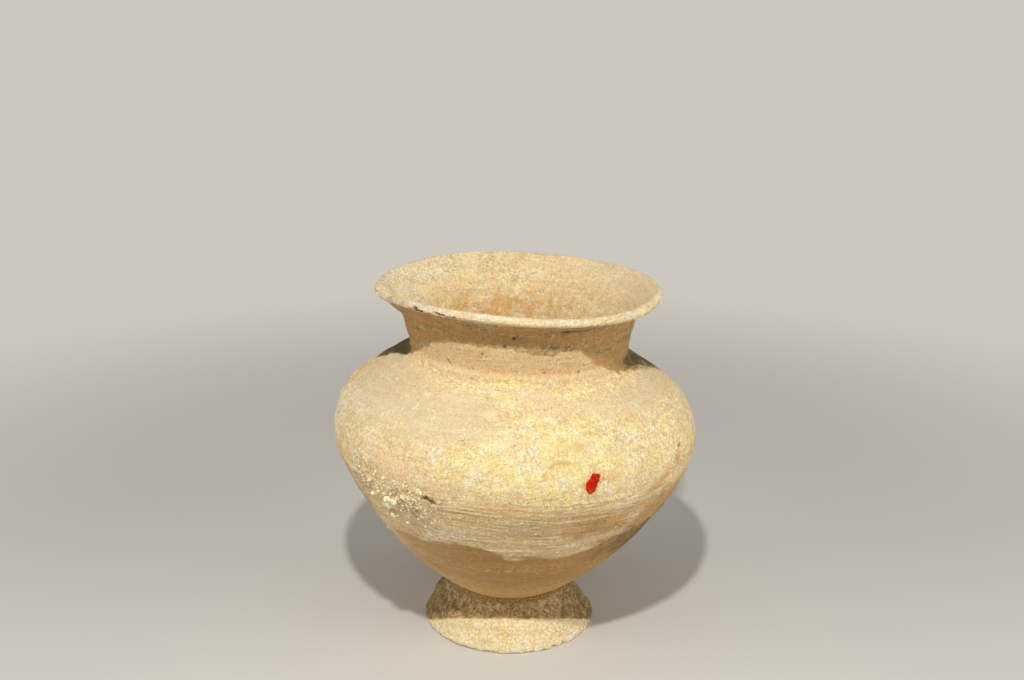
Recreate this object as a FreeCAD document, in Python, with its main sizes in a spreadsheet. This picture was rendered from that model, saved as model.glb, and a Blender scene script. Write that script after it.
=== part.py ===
import FreeCAD, Part

import math
import os

import Sketcher

# A footed clay jar with a wide flaring mouth, thrown in sections that were luted together with slip.
# Millimetres and degrees. The origin is the middle of the foot's resting plane, +Z is up and -Y is the front.
# Everything above the foot was set a little askew, so it leans towards +X on a wedge of slip.

# Driving dimensions: alias, value, meaning. A height is measured from the resting plane along the jar's axis.
DIMENSIONS = (
    ("lean_angle", 2.48, "lean of the jar above the foot"),
    ("lean_pivot_offset", -0.68, "offset of the leaning axis where it meets the foot"),
    ("lean_pivot_height", 23.4, "height about which the jar leans"),
    ("wall", 6.0, "thickness of the thrown wall"),
    ("slip", 1.0, "thickness of the luting slip in a joint"),
    ("foot_edge_radius", 43.8, "outer radius of the foot's rim"),
    ("foot_edge_height", 3.3, "thickness of the foot's rim"),
    ("foot_edge_softening", 0.8, "rounding of the foot's rim"),
    ("foot_flare_round", 67.0, "radius of the hollow curve up the foot"),
    ("foot_neck_radius", 31.4, "radius of the top of the foot"),
    ("foot_top_height", 21.2, "height of the flat top of the foot"),
    ("foot_rest_radius", 33.5, "inner radius of the resting ring"),
    ("foot_hollow_radius", 21.0, "radius of the flat roof of the hollow under the foot"),
    ("foot_hollow_height", 12.5, "height of that roof"),
    ("foot_slip_radius", 30.2, "radius of the slip wedge on the foot"),
    ("foot_slip_blank", 4.0, "height to which the wedge is laid before the bowl presses into it"),
    ("base_height", 22.9, "height of the underside of the bowl"),
    ("floor_height", 31.5, "height of the floor inside the bowl"),
    ("floor_round", 11.0, "rounding between floor and wall"),
    ("lower_wall_round", 177.0, "radius of the curve of the lower wall"),
    ("lower_joint_height", 67.0, "height of the joint above the scraped bowl"),
    ("lower_blend_angle", -24.4, "angle where the lower wall turns into the belly"),
    ("belly_round", 30.6, "radius of the turn at the belly"),
    ("belly_centre_radius", 60.3, "radius of the centre of that turn"),
    ("belly_centre_height", 106.4, "height of the centre of that turn"),
    ("belly_joint_angle", -11.0, "angle of the joint on the belly"),
    ("shoulder_blend_angle", 54.6, "angle where the belly turns into the shoulder"),
    ("shoulder_round", 151.4, "radius of the curve of the shoulder"),
    ("neck_crease_radius", 53.0, "radius of the crease between shoulder and neck"),
    ("neck_opening_radius", 47.0, "radius of the opening in the shoulder"),
    ("coil_reach", 3.4, "width of the clay coil smoothed into the crease"),
    ("coil_hollow_round", 6.0, "radius of the hollow face of that coil"),
    ("collar_heel_radius", 54.7, "radius of the neck at the top of the coil"),
    ("collar_heel_height", 149.8, "height of the top of the coil"),
    ("collar_swell_round", 96.0, "radius of the swelling of the neck outside"),
    ("collar_top_radius", 57.1, "outer radius of the neck under the lip"),
    ("collar_top_height", 165.0, "height of the neck under the lip"),
    ("collar_inner_radius", 51.8, "inner radius of the neck under the lip"),
    ("collar_inner_drop", 1.4, "drop of the joint under the lip towards the inside"),
    ("collar_bore_round", 96.0, "radius of the swelling of the neck inside"),
    ("lip_flare_round", 15.5, "radius of the hollow flare under the lip"),
    ("lip_under_radius", 64.5, "radius where the underside of the lip begins"),
    ("lip_round", 2.5, "radius of the rounded lip"),
    ("lip_bead_radius", 67.4, "radius of the centre of the rounded lip"),
    ("rim_height", 180.0, "height of the rim"),
    ("lip_throat_round", 47.0, "radius of the rolled inner side of the lip"),
    ("paint_film", 0.4, "thickness of the dab of paint"),
    ("paint_length", 8.6, "length of the dab"),
    ("paint_width", 3.9, "width of the dab"),
    ("paint_tilt", 33.0, "slant of the dab away from upright"),
    ("paint_bearing", -67.5, "direction of the dab around the axis, from +X"),
    ("paint_height", 110.2, "height of the dab"),
    ("crust_sink", 12.0, "latitude at which a ball of crust is cut off to sit on the wall"),
    ("crust_bite", 0.05, "depth to which the flat of a lump bites into the round wall"),
)

# Lumps of lime crust on the wall under the belly: direction around the axis, height and radius.
CRUST_LUMPS = (
    (-132.0, 88.6, 2.6),
    (-129.4, 85.2, 1.4),
    (-134.8, 85.6, 1.6),
    (-133.2, 81.4, 2.1),
    (-130.6, 80.2, 1.2),
    (-136.9, 92.0, 1.1),
    (-126.7, 78.3, 1.1),
)

PARTS_FOLDER = "parts"
SHEET = "Sizes"

doc = FreeCAD.newDocument("FootedJar")
sheet = doc.addObject("Spreadsheet::Sheet", SHEET)
for row, (alias, size, meaning) in enumerate(DIMENSIONS, start=1):
    sheet.set(f"A{row}", meaning)
    sheet.set(f"B{row}", str(size))
    sheet.setAlias(f"B{row}", alias)
doc.recompute()


def cell(alias):
    """The expression that reads one driving dimension."""
    return f"{SHEET}.{alias}"


def value(expression):
    """The number that an expression gives now."""
    return float(sheet.evalExpression(str(expression)))


def polar(centre, radius, angle):
    """The point of the profile plane at an angle on a circle about a centre, as two expressions."""
    return (
        f"{centre[0]} + ({radius}) * cos({angle})",
        f"{centre[1]} + ({radius}) * sin({angle})",
    )


def angle_at_height(centre, radius, level):
    """The angle at which a circle on the outer side reaches a height."""
    return f"asin(({level} - ({centre[1]})) / ({radius})) / 1 deg"


def angle_at_radius(centre, radius, distance):
    """The angle at which a circle on the upper side reaches a distance from the axis."""
    return f"acos(({distance} - ({centre[0]})) / ({radius})) / 1 deg"


def half_slip(radius):
    """The angle that half a joint's slip takes up on a circle."""
    return f"{cell('slip')} / 2 / ({radius}) * 180 / pi"


# The wall's outer profile is three circles that run into each other: lower wall, belly and shoulder.
BELLY = (cell("belly_centre_radius"), cell("belly_centre_height"))
LOWER = polar(BELLY, f"{cell('belly_round')} - {cell('lower_wall_round')}", cell("lower_blend_angle"))
SHOULDER = polar(BELLY, f"{cell('belly_round')} - {cell('shoulder_round')}", cell("shoulder_blend_angle"))

LOWER_OUT = cell("lower_wall_round")
LOWER_IN = f"{LOWER_OUT} - {cell('wall')}"
BELLY_OUT = cell("belly_round")
BELLY_IN = f"{BELLY_OUT} - {cell('wall')}"
SHOULDER_OUT = cell("shoulder_round")
SHOULDER_IN = f"{SHOULDER_OUT} - {cell('wall')}"
SHOULDER_ON_SLIP = f"{SHOULDER_OUT} + {cell('slip')}"

BASE_ANGLE = angle_at_height(LOWER, LOWER_OUT, cell("base_height"))
FLOOR_ANGLE = angle_at_height(LOWER, LOWER_IN, cell("floor_height"))
LOWER_JOINT = angle_at_height(LOWER, LOWER_OUT, cell("lower_joint_height"))
LOWER_JOINT_BELOW = f"{LOWER_JOINT} - {half_slip(LOWER_OUT)}"
LOWER_JOINT_ABOVE = f"{LOWER_JOINT} + {half_slip(LOWER_OUT)}"
BELLY_JOINT_BELOW = f"{cell('belly_joint_angle')} - {half_slip(BELLY_OUT)}"
BELLY_JOINT_ABOVE = f"{cell('belly_joint_angle')} + {half_slip(BELLY_OUT)}"
CREASE_ANGLE = angle_at_radius(SHOULDER, SHOULDER_OUT, cell("neck_crease_radius"))
OPENING_ANGLE = angle_at_radius(SHOULDER, SHOULDER_OUT, cell("neck_opening_radius"))
COIL_ANGLE = f"{CREASE_ANGLE} - {cell('coil_reach')} / {SHOULDER_OUT} * 180 / pi"

# Heights of the joint under the lip: the inner edge of the neck, and the two edges of the lip on its slip.
COLLAR_INNER_HEIGHT = f"{cell('collar_top_height')} - {cell('collar_inner_drop')}"
LIP_FOOT_HEIGHT = f"{cell('collar_top_height')} + {cell('slip')}"
LIP_INNER_HEIGHT = f"{COLLAR_INNER_HEIGHT} + {cell('slip')}"

# Everything above the foot leans about one point of the front-to-back axis.
LEAN_PIVOT = FreeCAD.Vector(value(cell("lean_pivot_offset")), 0, value(cell("lean_pivot_height")))
LEAN_TURN = FreeCAD.Rotation(FreeCAD.Vector(0, 1, 0), value(cell("lean_angle")))
LEAN = FreeCAD.Placement(
    LEAN_PIVOT - LEAN_TURN.multVec(FreeCAD.Vector(0, 0, LEAN_PIVOT.z)), LEAN_TURN
)
UPRIGHT = FreeCAD.Placement()


def origin_plane(body, role):
    """The body's own origin plane of that role."""
    return next(feature for feature in body.Origin.OriginFeatures if feature.Role == role)


def arc_between(start, end, radius, bulge):
    """The arc from start to end that bulges to the left of that way, or to the right if bulge is negative."""
    chord = end - start
    left = FreeCAD.Vector(-chord.y, chord.x, 0).normalize()
    centre = (start + end) * 0.5 - left * bulge * (radius ** 2 - chord.Length ** 2 / 4) ** 0.5
    first, last = (end, start) if bulge > 0 else (start, end)
    angles = [math.atan2(point.y - centre.y, point.x - centre.x) for point in (first, last)]
    return Part.ArcOfCircle(Part.Circle(centre, FreeCAD.Vector(0, 0, 1), radius), *angles)


def bind(sketch, kind, places, expression):
    """Add one dimension to a sketch and tie it to an expression."""
    index = sketch.addConstraint(Sketcher.Constraint(kind, *places, value(expression)))
    name = f"size{index}"
    sketch.renameConstraint(index, name)
    sketch.setExpression(f"Constraints.{name}", expression)


def draw_outline(sketch, corners):
    """Draw a closed outline of lines and arcs, and tie its corners and radii to the sheet.

    A corner is its radius, its height, and the edge that follows: None for a line, or the arc's
    radius and the side to which it bulges.
    """
    points = [FreeCAD.Vector(value(r), value(z), 0) for r, z, _ in corners]
    ends = []
    for index, (_, _, edge) in enumerate(corners):
        start = points[index]
        end = points[(index + 1) % len(points)]
        if edge is None:
            geometry = sketch.addGeometry(Part.LineSegment(start, end), False)
            ends.append((geometry, 1, 2))
            continue
        radius, bulge = edge
        geometry = sketch.addGeometry(arc_between(start, end, value(radius), bulge), False)
        ends.append((geometry, 2, 1) if bulge > 0 else (geometry, 1, 2))
    for index, (geometry, _, last) in enumerate(ends):
        following, first, _ = ends[(index + 1) % len(ends)]
        sketch.addConstraint(Sketcher.Constraint("Coincident", geometry, last, following, first))
    for (r, z, _), (geometry, first, _) in zip(corners, ends):
        if r == "0":
            sketch.addConstraint(Sketcher.Constraint("PointOnObject", geometry, first, -2))
        else:
            bind(sketch, "DistanceX", (-1, 1, geometry, first), r)
        bind(sketch, "DistanceY", (-1, 1, geometry, first), z)
    for (_, _, edge), (geometry, _, _) in zip(corners, ends):
        if edge is not None:
            bind(sketch, "Radius", (geometry,), edge[0])


def thrown(name, corners, placement):
    """A piece that was thrown on the wheel: its profile turned once about the axis."""
    body = doc.addObject("PartDesign::Body", name)
    body.Label = name
    sketch = body.newObject("Sketcher::SketchObject", f"{name}_profile")
    sketch.AttachmentSupport = [(origin_plane(body, "XZ_Plane"), "")]
    sketch.MapMode = "FlatFace"
    draw_outline(sketch, corners)
    turn = body.newObject("PartDesign::Revolution", f"{name}_turn")
    turn.Profile = sketch
    turn.ReferenceAxis = (sketch, ["V_Axis"])
    turn.Angle = 360.0
    body.Placement = placement
    body.Tip = turn
    doc.recompute()
    return body


def soften(body, radius_alias, touches):
    """Round the circular edges of a body whose radius and height pass a test."""
    turn = body.Tip
    edges = []
    for index, edge in enumerate(turn.Shape.Edges, start=1):
        if isinstance(edge.Curve, Part.Circle) and touches(edge.Curve.Radius, edge.Curve.Center.z):
            edges.append(f"Edge{index}")
    rounding = body.newObject("PartDesign::Fillet", f"{body.Name}_softening")
    rounding.Base = (turn, edges)
    rounding.setExpression("Radius", cell(radius_alias))
    body.Tip = rounding
    doc.recompute()


def near(first, second):
    """Whether two lengths are the same to a hundredth of a millimetre."""
    return abs(first - second) < 0.01


def pedestal_foot():
    """The low trumpet foot, hollow underneath, with a flat resting ring and a flat top."""
    body = thrown("pedestal_foot", [
        ("0", cell("foot_hollow_height"), None),
        (cell("foot_hollow_radius"), cell("foot_hollow_height"), None),
        (cell("foot_rest_radius"), "0", None),
        (cell("foot_edge_radius"), "0", None),
        (cell("foot_edge_radius"), cell("foot_edge_height"), (cell("foot_flare_round"), 1)),
        (cell("foot_neck_radius"), cell("foot_top_height"), None),
        ("0", cell("foot_top_height"), None),
    ], UPRIGHT)
    edge = value(cell("foot_edge_radius"))
    soften(body, "foot_edge_softening", lambda radius, _: near(radius, edge))
    return body


def lower_bowl():
    """The scraped bottom of the jar: a thick floor and the wall up to the first joint."""
    body = thrown("lower_bowl", [
        ("0", cell("base_height"), None),
        (*polar(LOWER, LOWER_OUT, BASE_ANGLE), (LOWER_OUT, -1)),
        (*polar(LOWER, LOWER_OUT, LOWER_JOINT_BELOW), None),
        (*polar(LOWER, LOWER_IN, LOWER_JOINT_BELOW), (LOWER_IN, 1)),
        (*polar(LOWER, LOWER_IN, FLOOR_ANGLE), None),
        ("0", cell("floor_height"), None),
    ], LEAN)
    floor = value(cell("floor_height"))
    soften(body, "floor_round", lambda _, level: near(level, floor))
    return body


def foot_luting_slip(bowl):
    """The wedge of slip between the upright foot and the askew bowl."""
    blank = doc.addObject("Part::Cylinder", "foot_slip_blank")
    blank.setExpression("Radius", cell("foot_slip_radius"))
    blank.setExpression("Height", cell("foot_slip_blank"))
    blank.Placement.Base = FreeCAD.Vector(LEAN_PIVOT.x, 0, value(cell("foot_top_height")))
    wedge = doc.addObject("Part::Cut", "foot_luting_slip")
    wedge.Label = "foot_luting_slip"
    wedge.Base = blank
    wedge.Tool = bowl
    doc.recompute()
    return wedge


def wall_slip(name, centre, outer, inner, below, above):
    """A film of slip that fills a joint across the wall, between two angles of one circle."""
    return thrown(name, [
        (*polar(centre, outer, below), (outer, -1)),
        (*polar(centre, outer, above), None),
        (*polar(centre, inner, above), (inner, 1)),
        (*polar(centre, inner, below), None),
    ], LEAN)


def belly_wall():
    """The ridged wall between the two joints of the body, which turns upright at its top."""
    return thrown("belly_wall", [
        (*polar(LOWER, LOWER_OUT, LOWER_JOINT_ABOVE), (LOWER_OUT, -1)),
        (*polar(BELLY, BELLY_OUT, cell("lower_blend_angle")), (BELLY_OUT, -1)),
        (*polar(BELLY, BELLY_OUT, BELLY_JOINT_BELOW), None),
        (*polar(BELLY, BELLY_IN, BELLY_JOINT_BELOW), (BELLY_IN, 1)),
        (*polar(BELLY, BELLY_IN, cell("lower_blend_angle")), (LOWER_IN, 1)),
        (*polar(LOWER, LOWER_IN, LOWER_JOINT_ABOVE), None),
    ], LEAN)


def shoulder_dome():
    """The shoulder, closed in from the belly joint to the opening that the neck stands on."""
    return thrown("shoulder_dome", [
        (*polar(BELLY, BELLY_OUT, BELLY_JOINT_ABOVE), (BELLY_OUT, -1)),
        (*polar(BELLY, BELLY_OUT, cell("shoulder_blend_angle")), (SHOULDER_OUT, -1)),
        (*polar(SHOULDER, SHOULDER_OUT, OPENING_ANGLE), None),
        (*polar(SHOULDER, SHOULDER_IN, OPENING_ANGLE), (SHOULDER_IN, 1)),
        (*polar(BELLY, BELLY_IN, cell("shoulder_blend_angle")), (BELLY_IN, 1)),
        (*polar(BELLY, BELLY_IN, BELLY_JOINT_ABOVE), None),
    ], LEAN)


def neck_fillet_coil():
    """The thin coil of clay smoothed into the crease outside the neck."""
    crease = polar(SHOULDER, SHOULDER_OUT, CREASE_ANGLE)
    crease_on_slip = polar(SHOULDER, SHOULDER_ON_SLIP, CREASE_ANGLE)
    return thrown("neck_fillet_coil", [
        (*polar(SHOULDER, SHOULDER_OUT, COIL_ANGLE), (cell("coil_hollow_round"), 1)),
        (cell("collar_heel_radius"), cell("collar_heel_height"), None),
        (*crease_on_slip, None),
        (*crease, (SHOULDER_OUT, 1)),
    ], LEAN)


def neck_collar():
    """The neck, thrown from a ring of clay on the shoulder, up to the joint under the lip."""
    return thrown("neck_collar", [
        (*polar(SHOULDER, SHOULDER_ON_SLIP, OPENING_ANGLE), (SHOULDER_ON_SLIP, 1)),
        (*polar(SHOULDER, SHOULDER_ON_SLIP, CREASE_ANGLE), None),
        (cell("collar_heel_radius"), cell("collar_heel_height"), (cell("collar_swell_round"), -1)),
        (cell("collar_top_radius"), cell("collar_top_height"), None),
        (cell("collar_inner_radius"), COLLAR_INNER_HEIGHT, (cell("collar_bore_round"), 1)),
    ], LEAN)


def lip_luting_slip():
    """The film of slip on top of the neck, under the lip."""
    return thrown("lip_luting_slip", [
        (cell("collar_top_radius"), cell("collar_top_height"), None),
        (cell("collar_top_radius"), LIP_FOOT_HEIGHT, None),
        (cell("collar_inner_radius"), LIP_INNER_HEIGHT, None),
        (cell("collar_inner_radius"), COLLAR_INNER_HEIGHT, None),
    ], LEAN)


def rim_lip():
    """The strip of clay that makes the mouth: a flare that ends in a rounded lip."""
    lip_under = f"{cell('rim_height')} - 2 * {cell('lip_round')}"
    lip_middle = f"{cell('rim_height')} - {cell('lip_round')}"
    lip_outside = f"{cell('lip_bead_radius')} + {cell('lip_round')}"
    return thrown("rim_lip", [
        (cell("collar_top_radius"), LIP_FOOT_HEIGHT, (cell("lip_flare_round"), 1)),
        (cell("lip_under_radius"), lip_under, None),
        (cell("lip_bead_radius"), lip_under, (cell("lip_round"), -1)),
        (lip_outside, lip_middle, (cell("lip_round"), -1)),
        (cell("lip_bead_radius"), cell("rim_height"), (cell("lip_throat_round"), -1)),
        (cell("collar_inner_radius"), LIP_INNER_HEIGHT, None),
    ], LEAN)


def lime_crust_lumps():
    """Lumps of lime crust grown on the wall, each a ball cut flat where it sits on it."""
    lumps = []
    for number, (bearing, level, radius) in enumerate(CRUST_LUMPS, start=1):
        slope = value(angle_at_height(LOWER, LOWER_OUT, level))
        reach, _ = (value(part) for part in polar(LOWER, LOWER_OUT, slope))
        around = FreeCAD.Rotation(FreeCAD.Vector(0, 0, 1), bearing)
        outward = around.multiply(FreeCAD.Rotation(FreeCAD.Vector(0, 1, 0), 90 - slope))
        cut = value(f"sin({cell('crust_sink')})") * radius
        seat = around.multVec(FreeCAD.Vector(reach, 0, 0)) + FreeCAD.Vector(0, 0, level)
        centre = seat - outward.multVec(FreeCAD.Vector(0, 0, cut + value(cell("crust_bite"))))
        lump = doc.addObject("Part::Sphere", f"crust_lump_{number}")
        lump.Radius = radius
        lump.setExpression("Angle1", cell("crust_sink"))
        lump.Placement = LEAN.multiply(FreeCAD.Placement(centre, outward))
        lumps.append(lump)
    crust = doc.addObject("Part::MultiFuse", "lime_crust_lumps")
    crust.Label = "lime_crust_lumps"
    crust.Shapes = lumps
    doc.recompute()
    return crust


def red_paint_dab():
    """The slanting oval dab of red paint on the belly, a film on the wall's curve."""
    film = f"{BELLY_OUT} + {cell('paint_film')}"
    middle = angle_at_height(BELLY, BELLY_OUT, cell("paint_height"))
    half_band = f"{cell('paint_length')} / ({BELLY_OUT}) * 180 / pi"
    band = thrown("paint_band", [
        (*polar(BELLY, BELLY_OUT, f"{middle} - {half_band}"), None),
        (*polar(BELLY, film, f"{middle} - {half_band}"), (film, -1)),
        (*polar(BELLY, film, f"{middle} + {half_band}"), None),
        (*polar(BELLY, BELLY_OUT, f"{middle} + {half_band}"), (BELLY_OUT, 1)),
    ], LEAN)
    brush = doc.addObject("Part::Ellipsoid", "paint_brush")
    brush.setExpression("Radius1", f"{cell('paint_width')} / 2")
    brush.setExpression("Radius2", f"{cell('paint_length')} / 2")
    brush.setExpression("Radius3", f"{cell('paint_width')} / 2")
    reach, level = (value(part) for part in polar(BELLY, BELLY_OUT, middle))
    around = FreeCAD.Rotation(FreeCAD.Vector(0, 0, 1), value(cell("paint_bearing")))
    face_out = FreeCAD.Rotation(FreeCAD.Vector(0, 1, 0), 90)
    slant = FreeCAD.Rotation(FreeCAD.Vector(0, 0, 1), 90 - value(cell("paint_tilt")))
    local = around.multVec(FreeCAD.Vector(reach, 0, 0)) + FreeCAD.Vector(0, 0, level)
    brush.Placement = LEAN.multiply(FreeCAD.Placement(local, around.multiply(face_out).multiply(slant)))
    dab = doc.addObject("Part::Common", "red_paint_dab")
    dab.Label = "red_paint_dab"
    dab.Base = band
    dab.Tool = brush
    doc.recompute()
    return dab


bowl = lower_bowl()
pieces = [
    pedestal_foot(),
    foot_luting_slip(bowl),
    bowl,
    wall_slip("lower_luting_slip", LOWER, LOWER_OUT, LOWER_IN, LOWER_JOINT_BELOW, LOWER_JOINT_ABOVE),
    belly_wall(),
    wall_slip("belly_luting_slip", BELLY, BELLY_OUT, BELLY_IN, BELLY_JOINT_BELOW, BELLY_JOINT_ABOVE),
    shoulder_dome(),
    wall_slip("neck_luting_slip", SHOULDER, SHOULDER_ON_SLIP, SHOULDER_OUT, CREASE_ANGLE, OPENING_ANGLE),
    neck_fillet_coil(),
    neck_collar(),
    lip_luting_slip(),
    rim_lip(),
    lime_crust_lumps(),
    red_paint_dab(),
]
doc.recompute()

for item in doc.Objects:
    if "Invalid" in item.State or "Error" in item.State:
        raise RuntimeError(f"{item.Label} did not recompute: {item.State}")
for piece in pieces:
    if piece.Shape.isNull() or not piece.Shape.isValid():
        raise RuntimeError(f"{piece.Label} has no valid shape")

os.makedirs(PARTS_FOLDER, exist_ok=True)
for piece in pieces:
    piece.Shape.exportStep(os.path.join(PARTS_FOLDER, f"{piece.Label}.step"))
    box = piece.Shape.BoundBox
    print(
        f"{piece.Label}: {len(piece.Shape.Solids)} solid, {piece.Shape.Volume / 1000:.2f} cm3, "
        f"z {box.ZMin:.1f} to {box.ZMax:.1f}, x {box.XMin:.1f} to {box.XMax:.1f}"
    )
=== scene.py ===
import logging
import math
from dataclasses import dataclass
from enum import Enum
from typing import Optional, Sequence, Union

import bmesh
import bpy
import numpy as np
from mathutils import Matrix, Vector


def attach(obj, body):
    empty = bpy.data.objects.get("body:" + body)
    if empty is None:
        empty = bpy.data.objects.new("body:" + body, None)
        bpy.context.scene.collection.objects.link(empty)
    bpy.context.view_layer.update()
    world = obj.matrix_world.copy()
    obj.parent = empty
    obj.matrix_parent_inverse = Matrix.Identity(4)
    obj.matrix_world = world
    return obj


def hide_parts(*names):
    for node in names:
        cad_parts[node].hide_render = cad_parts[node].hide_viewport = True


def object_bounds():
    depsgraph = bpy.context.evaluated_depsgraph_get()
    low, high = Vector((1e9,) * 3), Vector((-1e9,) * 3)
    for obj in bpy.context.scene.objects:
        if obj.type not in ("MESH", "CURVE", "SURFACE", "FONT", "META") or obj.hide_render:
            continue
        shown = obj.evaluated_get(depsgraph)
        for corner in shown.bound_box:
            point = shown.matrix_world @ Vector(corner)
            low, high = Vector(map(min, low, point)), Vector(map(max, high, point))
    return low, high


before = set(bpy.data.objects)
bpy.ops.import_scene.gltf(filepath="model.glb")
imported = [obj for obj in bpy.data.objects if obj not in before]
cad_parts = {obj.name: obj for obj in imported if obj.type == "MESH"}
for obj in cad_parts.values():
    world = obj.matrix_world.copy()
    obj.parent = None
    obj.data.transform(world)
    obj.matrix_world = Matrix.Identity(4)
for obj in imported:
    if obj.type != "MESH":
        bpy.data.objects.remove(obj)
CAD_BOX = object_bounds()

# A footed clay jar, thrown in sections. Sizes are millimetres and degrees, and become metres in each
# finished mesh. A place on the wall is its bearing round the axis, from +X with the front at -90, and its
# height before the lean.

LOG = logging.getLogger("footed_jar")
MM = 0.001
SLICE_STEPS = 14
DOUBLINGS = 6
SHARP_ANGLE = 50.0
WELD = 1e-3
ROWS_AT_ONCE = 20000
AXIS_PRIMES = (73856093, 19349663, 83492791)
SEED_PRIME = 2654435761
MIX_PRIME = 1274126177
LOW_BITS = 0xFFFF
OCTAVE_RATIO = 2.03
OCTAVE_SHIFT = 17.3
MARK_REACH = 2.2
LEAST_RADIUS = 20.0
SLOPE_GAP = 0.3
WIDEST_PIT = 1.2
Source = Union[bpy.types.NodeSocket, float, Sequence[float]]
Triple = tuple[float, float, float]


def linear(code: str) -> tuple[float, float, float, float]:
    """Turn an sRGB hex colour into a linear one.

    Args:
        code: The colour as six hex digits.

    Returns:
        Red, green, blue and an alpha of one, linear.
    """
    parts = [int(code[i:i + 2], 16) / 255 for i in (0, 2, 4)]
    red, green, blue = (c / 12.92 if c <= 0.04045 else ((c + 0.055) / 1.055) ** 2.4 for c in parts)
    return red, green, blue, 1.0


def step_between(low: float, high: float, amount: np.ndarray) -> np.ndarray:
    """Rise smoothly from 0 at low to 1 at high, or fall if low is the larger."""
    share = np.clip((amount - low) / (high - low), 0.0, 1.0)
    return share * share * (3 - 2 * share)


def corner_value(cells: np.ndarray, seed: int) -> np.ndarray:
    """Give each whole-number cell corner a lasting chance value.

    Args:
        cells: Corners, one row of three whole numbers each.
        seed: Which of many unlike fields to use.

    Returns:
        Values from -1 to 1.
    """
    keys = cells.astype(np.int64).astype(np.uint64)
    mixed = np.full(len(keys), seed * SEED_PRIME, dtype=np.uint64)
    for axis, prime in enumerate(AXIS_PRIMES):
        mixed ^= keys[:, axis] * np.uint64(prime)
    mixed = (mixed ^ (mixed >> np.uint64(13))) * np.uint64(MIX_PRIME)
    mixed ^= mixed >> np.uint64(16)
    return (mixed & np.uint64(LOW_BITS)).astype(float) / (LOW_BITS / 2) - 1.0


def noise(spots: np.ndarray, size: float, seed: int, octaves: int = 1) -> np.ndarray:
    """Smooth chance field in space.

    Args:
        spots: Points, one row of x, y, z each, in millimetres.
        size: Width of its blobs.
        seed: Which field to use.
        octaves: How many finer fields are added, each half as strong.

    Returns:
        Values from about -1 to 1.
    """
    total = np.zeros(len(spots))
    for octave in range(octaves):
        scaled = spots * (OCTAVE_RATIO ** octave / size) + OCTAVE_SHIFT * octave
        base = np.floor(scaled)
        fade = scaled - base
        fade = fade * fade * (3 - 2 * fade)
        blend = np.zeros(len(spots))
        sides = (1 - fade, fade)
        for i, j, k in np.ndindex(2, 2, 2):
            share = sides[i][:, 0] * sides[j][:, 1] * sides[k][:, 2]
            blend += share * corner_value(base + (i, j, k), seed + octave)
        total += blend * 0.5 ** octave
    return total


@dataclass(frozen=True)
class Stretch:
    """A stretch of a piece's profile.

    It has its points, their outward normals, and how much each belongs to the outer skin.
    """

    points: np.ndarray
    normals: np.ndarray
    outer: np.ndarray

    @staticmethod
    def line(start: tuple[float, float], end: tuple[float, float], step: float,
             outer: tuple[float, float]) -> "Stretch":
        """A straight stretch whose outward side is to the right of its way.

        Args:
            start: Radius and height where it starts.
            end: Radius and height where it ends.
            step: Greatest distance between points.
            outer: Share of the outer skin at the start and at the end.

        Returns:
            The stretch.
        """
        first, last = np.array(start), np.array(end)
        length = float(np.linalg.norm(last - first))
        share = np.linspace(0, 1, max(2, math.ceil(length / step) + 1))[:, None]
        way = (last - first) / length
        normals = np.tile([way[1], -way[0]], (len(share), 1))
        skin = outer[0] + (outer[1] - outer[0]) * share[:, 0]
        return Stretch(first + (last - first) * share, normals, skin)

    @staticmethod
    def arc(centre: tuple[float, float], radius: float, first: float, last: float, step: float,
            outer: float) -> "Stretch":
        """A round stretch between two angles, whose outward side is to the right of its way.

        Args:
            centre: Radius and height of its centre.
            radius: Its own radius.
            first: Angle where it starts, in degrees.
            last: Angle where it ends.
            step: Greatest distance between points.
            outer: Share of the outer skin, 1 outside and 0 inside.

        Returns:
            The stretch.
        """
        count = max(3, math.ceil(math.radians(abs(last - first)) * radius / step) + 1)
        angles = np.radians(np.linspace(first, last, count))
        rays = np.stack([np.cos(angles), np.sin(angles)], axis=1)
        facing = 1.0 if last > first else -1.0
        return Stretch(np.array(centre) + rays * radius, rays * facing, np.full(count, outer))

    @staticmethod
    def bulged(start: tuple[float, float], end: tuple[float, float], radius: float, bulge: int,
               step: float, outer: float) -> "Stretch":
        """A round stretch between two points that bulges to the left of its way, or right if bulge is -1.

        Args:
            start: Radius and height where it starts.
            end: Radius and height where it ends.
            radius: Its own radius.
            bulge: The side of the bulge.
            step: Greatest distance between points.
            outer: Share of the outer skin.

        Returns:
            The stretch.
        """
        first, last = np.array(start), np.array(end)
        chord = last - first
        length = float(np.linalg.norm(chord))
        left = np.array([-chord[1], chord[0]]) / length
        centre = (first + last) / 2 - left * bulge * math.sqrt(radius ** 2 - length ** 2 / 4)
        turn = [math.degrees(math.atan2(*(p - centre)[::-1])) for p in (first, last)]
        sweep = (turn[1] - turn[0] + 180) % 360 - 180
        return Stretch.arc(tuple(centre), radius, turn[0], turn[0] + sweep, step, outer)


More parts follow.
